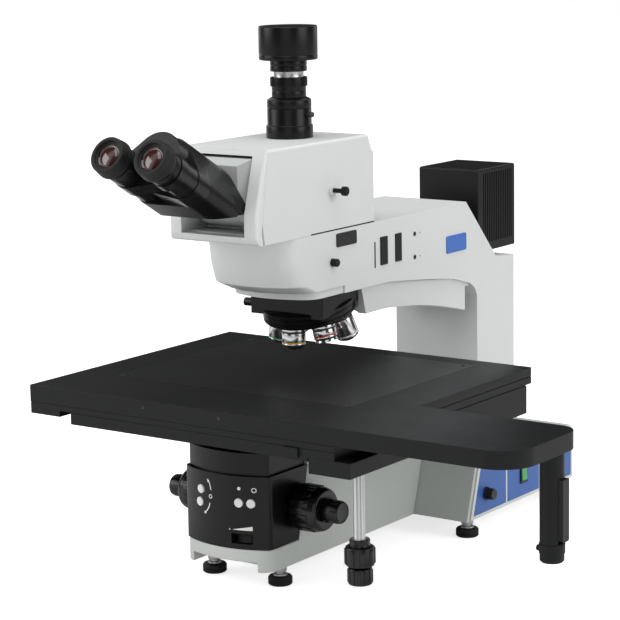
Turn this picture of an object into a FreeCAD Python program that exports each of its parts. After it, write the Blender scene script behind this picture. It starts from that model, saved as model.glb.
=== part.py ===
import FreeCAD, Part
import math
import os
import Sketcher

# Inspection microscope with a large mechanical stage, in millimetres.
# The origin lies on the table under the optical axis, +X to the operator's right,
# +Y away from the operator and +Z up.

Vec = FreeCAD.Vector
document = FreeCAD.newDocument("InspectionMicroscope")
sheet = document.addObject("Spreadsheet::Sheet", "Sizes")

# Driving dimensions: name, value, meaning
drivingSizes = [
    ("gap", 0.3, "clearance between neighbouring pieces"),
    ("slideGap", 1.0, "clearance between pieces that travel past each other"),
    # stand
    ("baseHalf", 66.5, "half width of the cast base"),
    ("baseFront", 146.4, "front corners ahead of the axis"),
    ("frontBulge", 18.6, "how far the curved front stands ahead of its corners"),
    ("baseCorner", 22.0, "rounding of the base's front corners"),
    ("coverCorner", 9.0, "rounding of the covers' front corners"),
    ("baseFloor", 25.0, "height of the base's underside over the table"),
    ("baseStep", 54.0, "height of the ledge that carries the black covers"),
    ("baseRoom", 8.0, "room between the cast base and the stage base"),
    ("wallLow", 88.0, "base front wall ahead of the axis at the ledge"),
    ("wallHigh", 62.0, "base front wall ahead of the axis at the top"),
    ("archHalf", 50.0, "half width of the arch between the front feet"),
    ("archTop", 38.0, "height of the arch over the table"),
    ("archDeep", 24.0, "depth of the arch behind the front"),
    ("rearFront", 176.0, "rear housing's front face at its foot"),
    ("rearLean", 24.0, "how far that face leans back at the top"),
    ("rearBack", 462.0, "back of the rear housing"),
    ("rearHalf", 150.5, "half width of the rear housing"),
    ("rearTop", 103.5, "top of the rear housing"),
    ("frameThick", 2.5, "thickness of the side frame"),
    ("footRadius", 15.5, "rubber pad of a foot"),
    ("footPad", 13.0, "height of a rubber pad"),
    ("studRadius", 6.0, "stud of a foot"),
    ("frontFootX", 52.0, "front feet from the middle"),
    ("frontFootY", 110.0, "front feet ahead of the axis"),
    ("rearFootX", 136.0, "rear feet from the middle"),
    ("rearFootFront", 200.0, "middle feet behind the axis"),
    ("rearFootBack", 440.0, "back feet behind the axis"),
    # column and arm
    ("columnHalf", 67.4, "half width of column and arm"),
    ("columnFront", 341.0, "front of the column behind the axis"),
    ("columnBack", 441.0, "back of the column behind the axis"),
    ("shelfDrop", 89.7, "ledge behind the arm under the arm's top"),
    ("shelfFront", 392.0, "front of that ledge"),
    ("armDeep", 72.7, "height of the arm's side walls"),
    ("slopeFront", 313.0, "start of the arm's back slope"),
    ("flangeThick", 10.0, "thickness of the nose plate"),
    ("noseDrop", 47.5, "nose plate over the objectives' shoulder"),
    ("bellyDeep", 36.0, "how far the arm's inner box hangs under the nose plate"),
    ("bellyFront", 70.0, "front of the arm's inner box"),
    ("bellyInset", 6.0, "how far the inner box stands in from the arm's sides"),
    ("throatDrop", 51.0, "foot of the throat under the nose plate"),
    ("noseFront", 118.0, "nose ahead of the axis at the top"),
    ("noseSide", 92.0, "nose corners ahead of the axis at the top"),
    ("noseCorner", 34.0, "rounding of the nose's corners"),
    ("noseToe", 22.0, "how far the nose plate stands back from the nose"),
    # head
    ("headHalf", 67.4, "half width of the head"),
    ("headTall", 114.0, "height of the head"),
    ("headBack", 88.0, "back of the head behind the axis"),
    ("headSeam", 140.0, "seam between head and front frame"),
    ("bezelDeep", 18.0, "depth of the front frame"),
    ("drumHalf", 47.5, "half width of the tilting drum"),
    ("drumRadius", 44.5, "radius of the tilting drum"),
    ("drumY", 112.0, "tilt axis ahead of the optical axis"),
    ("drumRise", 59.0, "tilt axis over the head's underside"),
    # photo port, heights over the table
    ("portRadius", 28.0, "upright tube"),
    ("portTall", 51.0, "length of the upright tube"),
    ("adapterRadius", 21.7, "camera adapter"),
    ("ringRadius", 23.6, "focusing ring of the adapter"),
    ("ringRise", 13.7, "focusing ring over the upright tube"),
    ("ringTall", 12.0, "height of the focusing ring"),
    ("adapterTall", 47.0, "length of the camera adapter"),
    ("cameraTall", 42.4, "height of the camera"),
    ("cameraRadius", 37.0, "radius of the camera"),
    # binocular, measured along the eye tubes from the eye lenses
    ("tubeAngle", 30.0, "slope of the eye tubes in degrees"),
    ("eyeSpread", 65.0, "distance between the eye tubes"),
    ("eyeY", 313.0, "eye lenses ahead of the optical axis"),
    ("eyeRise", 61.0, "eye lenses over the tilt axis"),
    ("hubRise", 18.7, "hub axis above the plane of the eye tubes"),
    ("hubRadius", 36.0, "radius of the hub"),
    ("armRadius", 22.5, "radius of an eye tube's housing"),
    ("eyecupRadius", 24.5, "radius of an eyecup"),
    ("leftStart", 43.0, "front of the left hub disc"),
    ("rightStart", 65.5, "front of the right hub disc"),
    ("hubEnd", 90.0, "back of the right hub disc"),
    ("binocularEnd", 150.0, "back of the binocular's body"),
    # lamp housing
    ("lampHalf", 48.5, "half width of the lamp housing"),
    ("lampFront", 376.0, "front of the lamp housing"),
    ("lampBack", 475.5, "back of the lamp housing"),
    ("lampDrop", 43.0, "underside of the lamp housing under the light path"),
    ("lampTall", 117.0, "height of the lamp housing"),
    ("finDepth", 4.0, "depth of the cooling grooves"),
    ("finPitch", 5.0, "pitch of the cooling grooves"),
    ("finCount", 16.0, "number of cooling grooves"),
    ("lightRise", 35.0, "light path over the underside of the arm's walls"),
    # nosepiece
    ("turretTilt", 13.0, "tilt of the turret axis in degrees"),
    ("portCircle", 38.0, "port circle's radius"),
    ("parfocal", 65.5, "objectives' shoulder over the stage"),
    ("turretRadius", 60.0, "radius of the turret"),
    ("turretThick", 19.0, "thickness of the turret's rim"),
    ("threadRadius", 13.0, "objective thread"),
    ("portDeep", 7.0, "depth of a port"),
    ("fit", 0.05, "radial play of a running fit"),
    # stage
    ("plateLeft", 267.6, "left edge of the top plate"),
    ("plateRight", 228.8, "right edge of the top plate"),
    ("plateFront", 209.8, "front edge of the top plate"),
    ("plateBack", 211.1, "back edge of the top plate"),
    ("armReach", 451.0, "end of the clutch arm"),
    ("armBack", 58.5, "back edge of the clutch arm ahead of the axis"),
    ("armRound", 44.0, "rounding of the arm's front corner"),
    ("armRoundBack", 26.0, "rounding of the arm's back corner"),
    ("plateTop", 239.0, "top of the stage"),
    ("plateThick", 21.8, "thickness of the top plate"),
    ("insertLeft", 212.0, "left edge of the insert"),
    ("insertRight", 160.0, "right edge of the insert"),
    ("insertFront", 106.0, "front edge of the insert"),
    ("insertBack", 185.0, "back edge of the insert"),
    ("insertThick", 5.0, "thickness of the insert"),
    ("middleDrop", 44.4, "underside of the middle plate under the stage's top"),
    ("middleLeft", 199.5, "left edge of the middle plate's deep part"),
    ("middleRight", 208.0, "right edge of the middle plate"),
    ("skirtRight", 218.0, "inner edge of the left skirt"),
    ("skirtDrop", 37.0, "underside of the left skirt under the stage's top"),
    ("baseplateHalf", 165.0, "half width of the stage base"),
    ("baseplateDrop", 63.0, "underside of the stage base under the stage's top"),
    ("baseplateFront", 150.0, "front of the stage base"),
    ("baseplateBack", 170.0, "back of the stage base"),
    ("driveBoxRight", 230.0, "right face of the drive box"),
    ("driveBoxLeft", 170.5, "left face of the drive box"),
    ("driveBoxDrop", 59.0, "underside of the drive box under the stage's top"),
    ("driveBoxBack", 197.0, "back of the drive box"),
    ("rodX", 206.0, "drive rod from the middle"),
    ("rodY", 157.0, "drive rod ahead of the axis"),
    ("rodRadius", 7.0, "outer drive tube"),
    ("upperKnobRadius", 18.5, "upper drive knob"),
    ("upperKnobLow", 61.0, "underside of the upper drive knob"),
    ("upperKnobTop", 85.0, "top of the upper drive knob"),
    ("lowerKnobRadius", 15.5, "lower drive knob"),
    ("lowerKnobLow", 38.0, "underside of the lower drive knob"),
    ("lowerKnobTop", 58.5, "top of the lower drive knob"),
    ("postX", 433.0, "clutch post from the middle"),
    ("postY", 96.0, "clutch post ahead of the axis"),
    ("postRadius", 14.5, "radius of the clutch post"),
    ("postLow", 86.0, "underside of the clutch post"),
    # covers and focus drive
    ("coverWall", 4.0, "wall of the black covers"),
    ("coverLip", 29.0, "upper cover's height in sight"),
    ("shaftTube", 12.0, "tube round the focus shaft"),
    ("shaftY", 86.4, "focus shaft ahead of the axis"),
    ("shaftZ", 98.0, "height of the focus shaft"),
    ("pinionPitch", 6.0, "pitch radius of the focus pinion"),
    ("pinionTeeth", 12.0, "teeth of the focus pinion"),
    ("coarseShaft", 4.5, "coarse shaft"),
    ("fineShaft", 2.5, "fine shaft"),
    ("coarseRadius", 29.5, "coarse knob"),
    ("coarseOut", 108.5, "outer face of a coarse knob"),
    ("fineRadius", 14.5, "fine knob"),
    ("fineOut", 133.0, "outer face of a fine knob"),
    ("carriageHalf", 40.0, "half width of the focus carriage"),
    ("carriageFront", 122.0, "front of the focus carriage ahead of the axis"),
    ("carriageBack", 99.0, "back of the focus carriage ahead of the axis"),
    ("carriageLow", 60.5, "lower end of the focus carriage"),
    # controls
    ("buttonRadius", 5.7, "radius of a push button"),
    ("buttonProud", 2.0, "how far a button stands out"),
    ("buttonDeep", 1.6, "how far a button reaches into the cover"),
    ("wheelRadius", 15.0, "radius of the dimmer wheel"),
    ("wheelThick", 10.5, "thickness of the dimmer wheel"),
]

# Heights that follow from the stage's top and the pieces stacked over and under it
stackedHeights = [
    ("shoulderHeight", "plateTop + parfocal", "height of the working objective's shoulder"),
    ("flangeUnder", "shoulderHeight + noseDrop", "underside of the nose plate"),
    ("armUnder", "flangeUnder + flangeThick", "underside of the arm's side walls"),
    ("armTop", "armUnder + armDeep", "top of the arm"),
    ("bellyUnder", "flangeUnder - bellyDeep", "underside of the arm's inner box"),
    ("throatLow", "flangeUnder - throatDrop", "where the throat meets the column"),
    ("shelfTop", "armTop - shelfDrop", "ledge behind the arm's slope"),
    ("headBottom", "armTop + gap", "seam under the head"),
    ("headTop", "headBottom + headTall", "top of the head"),
    ("drumZ", "headBottom + drumRise", "height of the tilt axis"),
    ("eyeZ", "drumZ + eyeRise", "height of the eye lenses"),
    ("portTop", "headTop + portTall", "top of the upright tube"),
    ("ringLow", "portTop + ringRise", "lower edge of the focusing ring"),
    ("ringHigh", "ringLow + ringTall", "upper edge of the focusing ring"),
    ("cameraLow", "portTop + adapterTall", "underside of the camera"),
    ("cameraTop", "cameraLow + cameraTall", "top of the camera"),
    ("lightHeight", "armUnder + lightRise", "height of the lamp's light path"),
    ("lampLow", "lightHeight - lampDrop", "underside of the lamp housing"),
    ("lampTop", "lampLow + lampTall", "top of the lamp housing"),
    ("middleLow", "plateTop - middleDrop", "underside of the middle plate"),
    ("skirtLow", "plateTop - skirtDrop", "underside of the left skirt"),
    ("baseplateLow", "plateTop - baseplateDrop", "underside of the stage base"),
    ("driveBoxLow", "plateTop - driveBoxDrop", "underside of the drive box"),
    ("baseTop", "baseplateLow - baseRoom", "top of the cast base"),
    ("coverSplit", "baseplateLow - coverLip", "seam between the two black covers"),
    ("upperSkirt", "shaftZ + shaftTube + 4", "lower edge of the upper cover, inside the lower one"),
]

rows = [(name, str(value), meaning) for name, value, meaning in drivingSizes]
rows += [(name, "=" + formula, meaning) for name, formula, meaning in stackedHeights]
for row, (name, content, meaning) in enumerate(rows, 1):
    sheet.set("A%d" % row, meaning)
    sheet.set("B%d" % row, content)
    sheet.setAlias("B%d" % row, name)
document.recompute()


class Dim:
    """A length that knows its value and the sheet expression it comes from."""

    def __init__(self, value, text):
        self.value = float(value)
        self.text = text

    def __add__(self, other):
        other = asDim(other)
        return Dim(self.value + other.value, "(%s + %s)" % (self.text, other.text))

    def __sub__(self, other):
        other = asDim(other)
        return Dim(self.value - other.value, "(%s - %s)" % (self.text, other.text))

    def __mul__(self, other):
        other = asDim(other)
        return Dim(self.value * other.value, "(%s * %s)" % (self.text, other.text))

    def __truediv__(self, other):
        other = asDim(other)
        return Dim(self.value / other.value, "(%s / %s)" % (self.text, other.text))

    def __neg__(self):
        return Dim(-self.value, "(0 - %s)" % self.text)

    def __radd__(self, other):
        return asDim(other) + self

    def __rsub__(self, other):
        return asDim(other) - self

    def __rmul__(self, other):
        return asDim(other) * self


def asDim(item):
    return item if isinstance(item, Dim) else Dim(item, "(%r)" % float(item))


def root(dim):
    return Dim(math.sqrt(dim.value), "sqrt(%s)" % dim.text)


def sine(dim):
    return Dim(math.sin(math.radians(dim.value)), "sin(%s)" % dim.text)


def cosine(dim):
    return Dim(math.cos(math.radians(dim.value)), "cos(%s)" % dim.text)


class SheetSizes:
    """The sheet's values by name."""

    def __getattr__(self, name):
        return Dim(sheet.get(name), "Sizes." + name)


s = SheetSizes()
cuts = []
sheetRows = [len(rows)]


def derive(name, dim, meaning):
    """Writes a worked-out length into the sheet as a formula."""
    sheetRows[0] += 1
    row = sheetRows[0]
    sheet.set("A%d" % row, meaning)
    sheet.set("B%d" % row, "=" + dim.text.replace("Sizes.", ""))
    sheet.setAlias("B%d" % row, name)
    return Dim(dim.value, "Sizes." + name)


def bind(target, path, dim):
    target.setExpression(path, asDim(dim).text)


# Sketches and features

def newBody(label):
    body = document.addObject("PartDesign::Body", label)
    body.Label = label
    return body


def originItem(body, role):
    return [item for item in body.Origin.OriginFeatures if item.Role == role][0]


def newSketch(body, role, offset):
    sketch = body.newObject("Sketcher::SketchObject", body.Name + "Sketch")
    sketch.AttachmentSupport = (originItem(body, role), [""])
    sketch.MapMode = "FlatFace"
    bind(sketch, "AttachmentOffset.Base.z", offset)
    return sketch


def fixPoint(sketch, shape, end, point):
    """Ties one point of a sketch to its two sheet expressions."""
    for kind, dim in zip(("DistanceX", "DistanceY"), point):
        index = sketch.addConstraint(Sketcher.Constraint(kind, -1, 1, shape, end, asDim(dim).value))
        sketch.setExpression("Constraints[%d]" % index, asDim(dim).text)


def drawOutline(sketch, points, arcs=None):
    """Closed outline, anticlockwise; arcs gives the centre of each edge that is an arc."""
    arcs = arcs or {}
    flat = [Vec(asDim(x).value, asDim(y).value, 0) for x, y in points]
    first = sketch.GeometryCount
    count = len(flat)
    for index in range(count):
        a, b = flat[index], flat[(index + 1) % count]
        if index in arcs:
            centre = Vec(asDim(arcs[index][0]).value, asDim(arcs[index][1]).value, 0)
            circle = Part.Circle(centre, Vec(0, 0, 1), (a - centre).Length)
            fromAngle = math.atan2(a.y - centre.y, a.x - centre.x)
            toAngle = math.atan2(b.y - centre.y, b.x - centre.x)
            sketch.addGeometry(Part.ArcOfCircle(circle, fromAngle, toAngle), False)
        else:
            sketch.addGeometry(Part.LineSegment(a, b), False)
    for index in range(count):
        following = first + (index + 1) % count
        sketch.addConstraint(Sketcher.Constraint("Coincident", first + index, 2, following, 1))
    for index, point in enumerate(points):
        fixPoint(sketch, first + index, 1, point)
    for index, (_, height) in arcs.items():
        height = asDim(height)
        row = sketch.addConstraint(
            Sketcher.Constraint("DistanceY", -1, 1, first + index, 3, height.value))
        sketch.setExpression("Constraints[%d]" % row, height.text)


def drawCircle(sketch, x, y, radius):
    value = asDim(radius).value
    shape = sketch.addGeometry(Part.Circle(Vec(asDim(x).value, asDim(y).value, 0), Vec(0, 0, 1), value))
    fixPoint(sketch, shape, 3, (x, y))
    index = sketch.addConstraint(Sketcher.Constraint("Radius", shape, value))
    sketch.setExpression("Constraints[%d]" % index, asDim(radius).text)


planes = {"x": "YZ_Plane", "y": "XZ_Plane", "z": "XY_Plane"}


def draw(sketch, shapes):
    for shape in shapes:
        if shape[0] == "circle":
            drawCircle(sketch, *shape[1:])
        elif shape[0] == "arced":
            drawOutline(sketch, shape[1], shape[2])
        else:
            drawOutline(sketch, shape[1])


def ring(x, y, radius):
    return ("circle", x, y, radius)


def poly(*points):
    return ("poly", list(points))


def rect(x0, x1, y0, y1):
    return poly((x0, y0), (x1, y0), (x1, y1), (x0, y1))


def pad(body, axis, low, high, *shapes):
    """Material between two heights along an axis, in the outline of its sketch."""
    low, high = asDim(low), asDim(high)
    sketch = newSketch(body, planes[axis], -high if axis == "y" else low)
    draw(sketch, shapes)
    feature = body.newObject("PartDesign::Pad", body.Name + "Pad")
    feature.Profile = sketch
    bind(feature, "Length", high - low)
    return feature


def pocket(body, axis, low, high, *shapes):
    """Room between two heights along an axis, in the outline of its sketch."""
    low, high = asDim(low), asDim(high)
    before = body.Tip
    sketch = newSketch(body, planes[axis], -low if axis == "y" else high)
    draw(sketch, shapes)
    feature = body.newObject("PartDesign::Pocket", body.Name + "Pocket")
    feature.Profile = sketch
    bind(feature, "Length", high - low)
    cuts.append((feature, before))
    return feature


def revolve(body, *points):
    """Turned piece: radius and height pairs round the body's Z axis."""
    sketch = newSketch(body, "XZ_Plane", 0)
    drawOutline(sketch, list(points))
    feature = body.newObject("PartDesign::Revolution", body.Name + "Turned")
    feature.Profile = sketch
    feature.ReferenceAxis = (sketch, ["V_Axis"])
    feature.Angle = 360
    return feature


def around(body, feature, count):
    pattern = body.newObject("PartDesign::PolarPattern", body.Name + "Pattern")
    pattern.Originals = [feature]
    pattern.Axis = (originItem(body, "Z_Axis"), [""])
    pattern.Angle = 360
    pattern.Occurrences = int(round(asDim(count).value))
    body.Tip = pattern
    return pattern


def along(body, feature, role, length, count):
    pattern = body.newObject("PartDesign::LinearPattern", body.Name + "Row")
    pattern.Originals = [feature]
    pattern.Direction = (originItem(body, role), [""])
    bind(pattern, "Length", length)
    pattern.Occurrences = int(round(asDim(count).value))
    body.Tip = pattern
    return pattern


def edgeNames(shape, test):
    names = []
    for index, edge in enumerate(shape.Edges, 1):
        if test(edge, edge.BoundBox):
            names.append("Edge%d" % index)
    return names


def upright(x, y):
    """Test for an upright edge at a place."""
    x, y = asDim(x).value, asDim(y).value

    def test(edge, box):
        here = abs(box.XMin - x) < 0.1 and abs(box.YMin - y) < 0.1
        return here and box.XLength < 0.1 and box.YLength < 0.1 and box.ZLength > 1
    return test


def atHeight(z):
    z = asDim(z).value
    return lambda edge, box: abs(box.ZMin - z) < 0.01 and abs(box.ZMax - z) < 0.01


def either(*tests):
    return lambda edge, box: any(test(edge, box) for test in tests)


def dress(body, kind, amount, test):
    """Fillet or chamfer on the edges that a test picks."""
    document.recompute()
    base = body.Tip
    names = edgeNames(base.Shape, test)
    if not names:
        raise RuntimeError("no edge found on " + body.Label)
    feature = body.newObject("PartDesign::" + kind, body.Name + kind)
    feature.Base = (base, names)
    bind(feature, "Radius" if kind == "Fillet" else "Size", amount)
    body.Tip = feature
    return feature


def place(item, x, y, z, rotation=None):
    if rotation is not None:
        item.Placement = FreeCAD.Placement(Vec(0, 0, 0), rotation)
    bind(item, "Placement.Base.x", x)
    bind(item, "Placement.Base.y", y)
    bind(item, "Placement.Base.z", z)


def turn(axis, angle):
    return FreeCAD.Rotation(Vec(*axis), angle)


towardX = turn((0, 1, 0), 90)
towardY = turn((1, 0, 0), -90)


# Plain solids

def box(label, x0, x1, y0, y1, z0, z1):
    item = document.addObject("Part::Box", label)
    item.Label = label
    for prop, low, high in (("Length", x0, x1), ("Width", y0, y1), ("Height", z0, z1)):
        bind(item, prop, asDim(high) - asDim(low))
    place(item, x0, y0, z0)
    return item


def cylinder(label, radius, length, x, y, z, rotation=None):
    item = document.addObject("Part::Cylinder", label)
    item.Label = label
    bind(item, "Radius", radius)
    bind(item, "Height", length)
    place(item, x, y, z, rotation)
    return item


def cut(label, base, tool):
    item = document.addObject("Part::Cut", label)
    item.Label = label
    item.Base = base
    item.Tool = tool
    return item


def fuse(label, *pieces):
    item = document.addObject("Part::MultiFuse", label)
    item.Label = label
    item.Shapes = list(pieces)
    return item


def group(label, *pieces):
    item = document.addObject("Part::Compound", label)
    item.Label = label
    item.Links = list(pieces)
    return item


parts = []


def keep(*items):
    parts.extend(items)


def frontSketch(inset, corner, back):
    """Outline with the curved front shared by base and covers, moved inwards by an inset."""
    front = s.baseFront + s.frontBulge - inset
    side = s.baseFront - inset * 0.57
    return curvedFront(s.baseHalf - inset, front, side, corner, back)


def curvedFront(half, front, side, corner, back):
    """Straight sides, a front arc and two rounded corners; front and side count ahead of the axis."""
    bulge = front - side
    curve = (half * half + bulge * bulge) / (bulge * 2)
    centreY = curve - front
    cornerX = half - corner
    within = curve - corner
    cornerY = centreY - root(within * within - cornerX * cornerX)
    meetX = cornerX * curve / within
    meetY = centreY + (cornerY - centreY) * curve / within
    points = [(-half, back), (-half, cornerY), (-meetX, meetY),
              (meetX, meetY), (half, cornerY), (half, back)]
    arcs = {1: (-cornerX, cornerY), 2: (0, centreY), 3: (cornerX, cornerY)}
    return ("arced", points, arcs)


def wallAt(z):
    """Y of the base's leaning front wall at a height."""
    lean = (s.wallLow - s.wallHigh) / (s.baseTop - s.baseStep)
    return (asDim(z) - s.baseStep) * lean - s.wallLow


# Cast base with the arch between its front feet
half = s.baseHalf
housingFoot = s.rearFront - s.gap
housingHead = s.rearFront + s.rearLean - s.gap
shaftTube = s.shaftTube
body = newBody("base_casting")
pad(body, "z", s.baseFloor, s.baseTop, frontSketch(0, s.baseCorner, housingHead))
pocket(body, "x", -half - 1, half + 1,
       poly((-s.baseFront - s.frontBulge - 1, s.baseStep), (-s.wallLow, s.baseStep),
            (-s.wallHigh, s.baseTop), (-s.wallHigh, s.baseTop + 1),
            (-s.baseFront - s.frontBulge - 1, s.baseTop + 1)))
pocket(body, "x", -half - 1, half + 1,
       poly((housingFoot - 1, s.baseFloor - 1), (housingHead + 1, s.baseFloor - 1),
            (housingHead + 1, s.rearTop + s.gap), (housingHead, s.rearTop + s.gap),
            (housingFoot, s.baseFloor)))
pocket(body, "z", s.baseFloor - 1, s.archTop,
       rect(-s.archHalf, s.archHalf, -s.baseFront - s.frontBulge - 1,
            s.archDeep - s.baseFront - s.frontBulge + 14))
pocket(body, "z", s.baseFloor - 1, s.baseFloor + 18, rect(-34, 34, -94, 150))
pocket(body, "x", -half - 1, half + 1, ring(-s.shaftY, s.shaftZ, shaftTube + s.gap))
dress(body, "Fillet", 4,
      lambda edge, box: box.XLength < 0.1 and abs(box.ZMin - s.baseTop.value) < 0.1
      and abs(box.ZMax - s.baseTop.value) < 0.1 and box.YLength > 20)
keep(body)

# Rear housing
body = newBody("rear_housing")
rearHalf = s.rearHalf
inletX, inletZ = 95, 60
pad(body, "x", -rearHalf, rearHalf,
    poly((s.rearFront, s.baseFloor), (s.rearBack, s.baseFloor), (s.rearBack, s.rearTop),
         (s.rearFront + s.rearLean, s.rearTop)))
pocket(body, "y", s.rearBack - 16, s.rearBack + 1, rect(inletX - 24.3, inletX + 24.3, inletZ - 14.3, inletZ + 14.3))
dress(body, "Fillet", 5,
      lambda edge, box: abs(box.ZMin - s.rearTop.value) < 0.1 and abs(box.ZMax - s.rearTop.value) < 0.1)
vent = pocket(body, "y", s.rearBack - 3, s.rearBack + 1, rect(-100, -60, 52, 55))
along(body, vent, "Z_Axis", 32, 5)
keep(body)

# Side frame and its three panels on the right of the rear housing
frameLow, frameHigh = s.baseFloor + 2, s.rearTop - 5.5
panelLow, panelHigh = s.baseFloor + 6, s.rearTop - 10
lean = s.rearLean / (s.rearTop - s.baseFloor)


def slanted(inset, z):
    return s.rearFront + inset + (asDim(z) - s.baseFloor) * lean


panelSpans = [("slant", 274), (277, 364), (372, 455)]
body = newBody("side_panel")
pad(body, "x", rearHalf, rearHalf + s.frameThick,
    poly((slanted(5, frameLow), frameLow), (s.rearBack - 3, frameLow),
         (s.rearBack - 3, frameHigh), (slanted(5, frameHigh), frameHigh)))
windows = []
plates = []
for start, end in panelSpans:
    if start == "slant":
        windows.append(poly((slanted(11, panelLow), panelLow), (end, panelLow),
                            (end, panelHigh), (slanted(11, panelHigh), panelHigh)))
        plates.append(poly((slanted(11 + s.gap, panelLow + s.gap), panelLow + s.gap),
                           (end - s.gap, panelLow + s.gap), (end - s.gap, panelHigh - s.gap),
                           (slanted(11 + s.gap, panelHigh - s.gap), panelHigh - s.gap)))
    else:
        windows.append(rect(start, end, panelLow, panelHigh))
        plates.append(rect(start + s.gap, end - s.gap, panelLow + s.gap, panelHigh - s.gap))
pocket(body, "x", rearHalf - 1, rearHalf + s.frameThick + 1, *windows)
keep(body)

rockerY, rockerZ = 321, 64
lampKnobY, lampKnobZ = 222, 56
panels = []
for number, plate in enumerate(plates, 1):
    body = newBody("panel_plate_%d" % number)
    pad(body, "x", rearHalf, rearHalf + s.frameThick - 0.5, plate)
    if number == 1:
        pocket(body, "x", rearHalf - 1, rearHalf + s.frameThick + 1, ring(lampKnobY, lampKnobZ, 3.05))
    if number == 2:
        pocket(body, "x", rearHalf - 1, rearHalf + s.frameThick + 1,
               rect(rockerY - 9.3, rockerY + 9.3, rockerZ - 15.3, rockerZ + 15.3))
    panels.append(body)
keep(group("control_panels", *panels))

# Mains switch: surround and rocker, whose pin line lies across the surround
body = newBody("rocker_bezel")
pad(body, "x", rearHalf, rearHalf + s.frameThick + 1.5,
    rect(rockerY - 9, rockerY + 9, rockerZ - 15, rockerZ + 15))
pocket(body, "x", rearHalf + 0.5, rearHalf + s.frameThick + 2,
       rect(rockerY - 6.8, rockerY + 6.8, rockerZ - 11.8, rockerZ + 11.8))
keep(body)
body = newBody("power_rocker")
rockerX = rearHalf + s.frameThick
pad(body, "y", rockerY - 6.5, rockerY + 6.5,
    poly((rockerX - 1.2, rockerZ - 2), (rockerX + 0.9, rockerZ - 11), (rockerX + 2.6, rockerZ - 11),
         (rockerX + 2, rockerZ), (rockerX + 2.6, rockerZ + 11), (rockerX + 0.9, rockerZ + 11),
         (rockerX - 1.2, rockerZ + 2)))
pad(body, "y", rockerY - 6.5, rockerY + 6.5, ring(rockerX - 0.3, rockerZ, 1.4))
keep(body)

# Lamp brightness knob on the side panel
body = newBody("lamp_knob")
revolve(body, (0, 0.2), (3, 0.2), (3, 2.4), (9, 2.4), (9, 3.6), (8.2, 4), (7.6, 14), (6.8, 15), (0, 15))
pocket(body, "z", 14, 16, rect(-0.6, 0.6, 2, 8))
place(body, rearHalf, lampKnobY, lampKnobZ, towardX)
keep(body)

# Feet: rubber pad, stud and lock nut
feet = []
for x, y in ((s.frontFootX, -s.frontFootY), (s.rearFootX, s.rearFootFront), (s.rearFootX, s.rearFootBack)):
    for side in (-1, 1):
        name = "foot_%d" % (len(feet) + 1)
        rubber = cylinder(name + "_pad", s.footRadius, s.footPad, x * side, y, 0)
        stud = cylinder(name + "_stud", s.studRadius, s.baseFloor - s.footPad, x * side, y, s.footPad)
        nut = document.addObject("Part::Prism", name + "_nut")
        nut.Polygon = 6
        bind(nut, "Circumradius", s.studRadius + 4)
        nut.Height = 5
        place(nut, x * side, y, s.footPad + 3)
        feet.append(fuse(name, rubber, stud, nut))
keep(group("levelling_feet", *feet))

# Mains inlet in the back of the rear housing
body = newBody("power_inlet")
pad(body, "y", s.rearBack - 15.5, s.rearBack, rect(inletX - 24, inletX + 24, inletZ - 14, inletZ + 14))
pocket(body, "y", s.rearBack - 13, s.rearBack + 1, rect(inletX - 12, inletX + 12, inletZ - 8.5, inletZ + 8.5))
keep(body)

# Column and arm; the nose is a loft through four outlines
width = s.columnHalf
body = newBody("column_arm")
pad(body, "x", -width, width,
    poly((s.columnFront, s.rearTop), (s.columnBack, s.rearTop), (s.columnBack, s.shelfTop),
         (s.shelfFront, s.shelfTop + 4), (s.slopeFront, s.armTop), (-30, s.armTop),
         (-30, s.armUnder), (20, s.armUnder), (20, s.flangeUnder), (120, s.flangeUnder),
         (s.columnFront - 121, s.throatLow + 40), (s.columnFront - 62, s.throatLow + 32),
         (s.columnFront - 19, s.throatLow + 20), (s.columnFront - 6, s.throatLow + 11),
         (s.columnFront, s.throatLow)))
pad(body, "x", s.bellyInset - width, width - s.bellyInset,
    poly((s.bellyFront + 5, s.bellyUnder), (s.columnFront - 0.1, s.bellyUnder),
         (s.columnFront - 0.1, s.flangeUnder + 2), (s.bellyFront - 5, s.flangeUnder + 2)))
noseLevels = [(s.armUnder, 78, 52, s.noseCorner - 6), (s.armUnder + 11, 101, 83, s.noseCorner),
              (s.armUnder + 35, 110, 90, s.noseCorner),
              (s.armTop, s.noseFront, s.noseSide, s.noseCorner)]
levels = []
for z, front, side, corner in noseLevels:
    sketch = newSketch(body, "XY_Plane", z)
    draw(sketch, [curvedFront(width, asDim(front), asDim(side), asDim(corner), 10)])
    levels.append(sketch)
loft = body.newObject("PartDesign::AdditiveLoft", "noseLoft")
loft.Profile = levels[0]
loft.Sections = levels[1:]
loft.Ruled = True
lightZ = s.lightHeight
collarRadius = 24
pocket(body, "z", s.bellyUnder - 1, s.flangeUnder, ring(0, 36, s.turretRadius + 2.8))
pocket(body, "z", s.flangeUnder - 1, s.armTop + 1, ring(0, 0, 20))
pocket(body, "y", 0, s.columnFront - 16, ring(0, lightZ, 15))
pocket(body, "y", s.columnFront - 16, s.shelfFront, ring(0, lightZ, collarRadius + 0.1))
filterSpans = [(101, 117), (136, 150)]
filterLow, filterHigh = lightZ - 21, lightZ + 16
pocket(body, "x", -42, width + 1, *[rect(a, b, filterLow, filterHigh) for a, b in filterSpans])
analyserY, analyserZ = 0, s.flangeUnder + 20
keep(body)

# Bottom plate of the nose, set in from the nose all round
body = newBody("nose_plate")
pad(body, "z", s.flangeUnder, s.armUnder - 0.05, curvedFront(width - 2.4, asDim(62), asDim(42), asDim(26), 19.7))
pocket(body, "z", s.flangeUnder - 1, s.armUnder + 1, ring(0, 0, 20))
keep(body)

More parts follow.
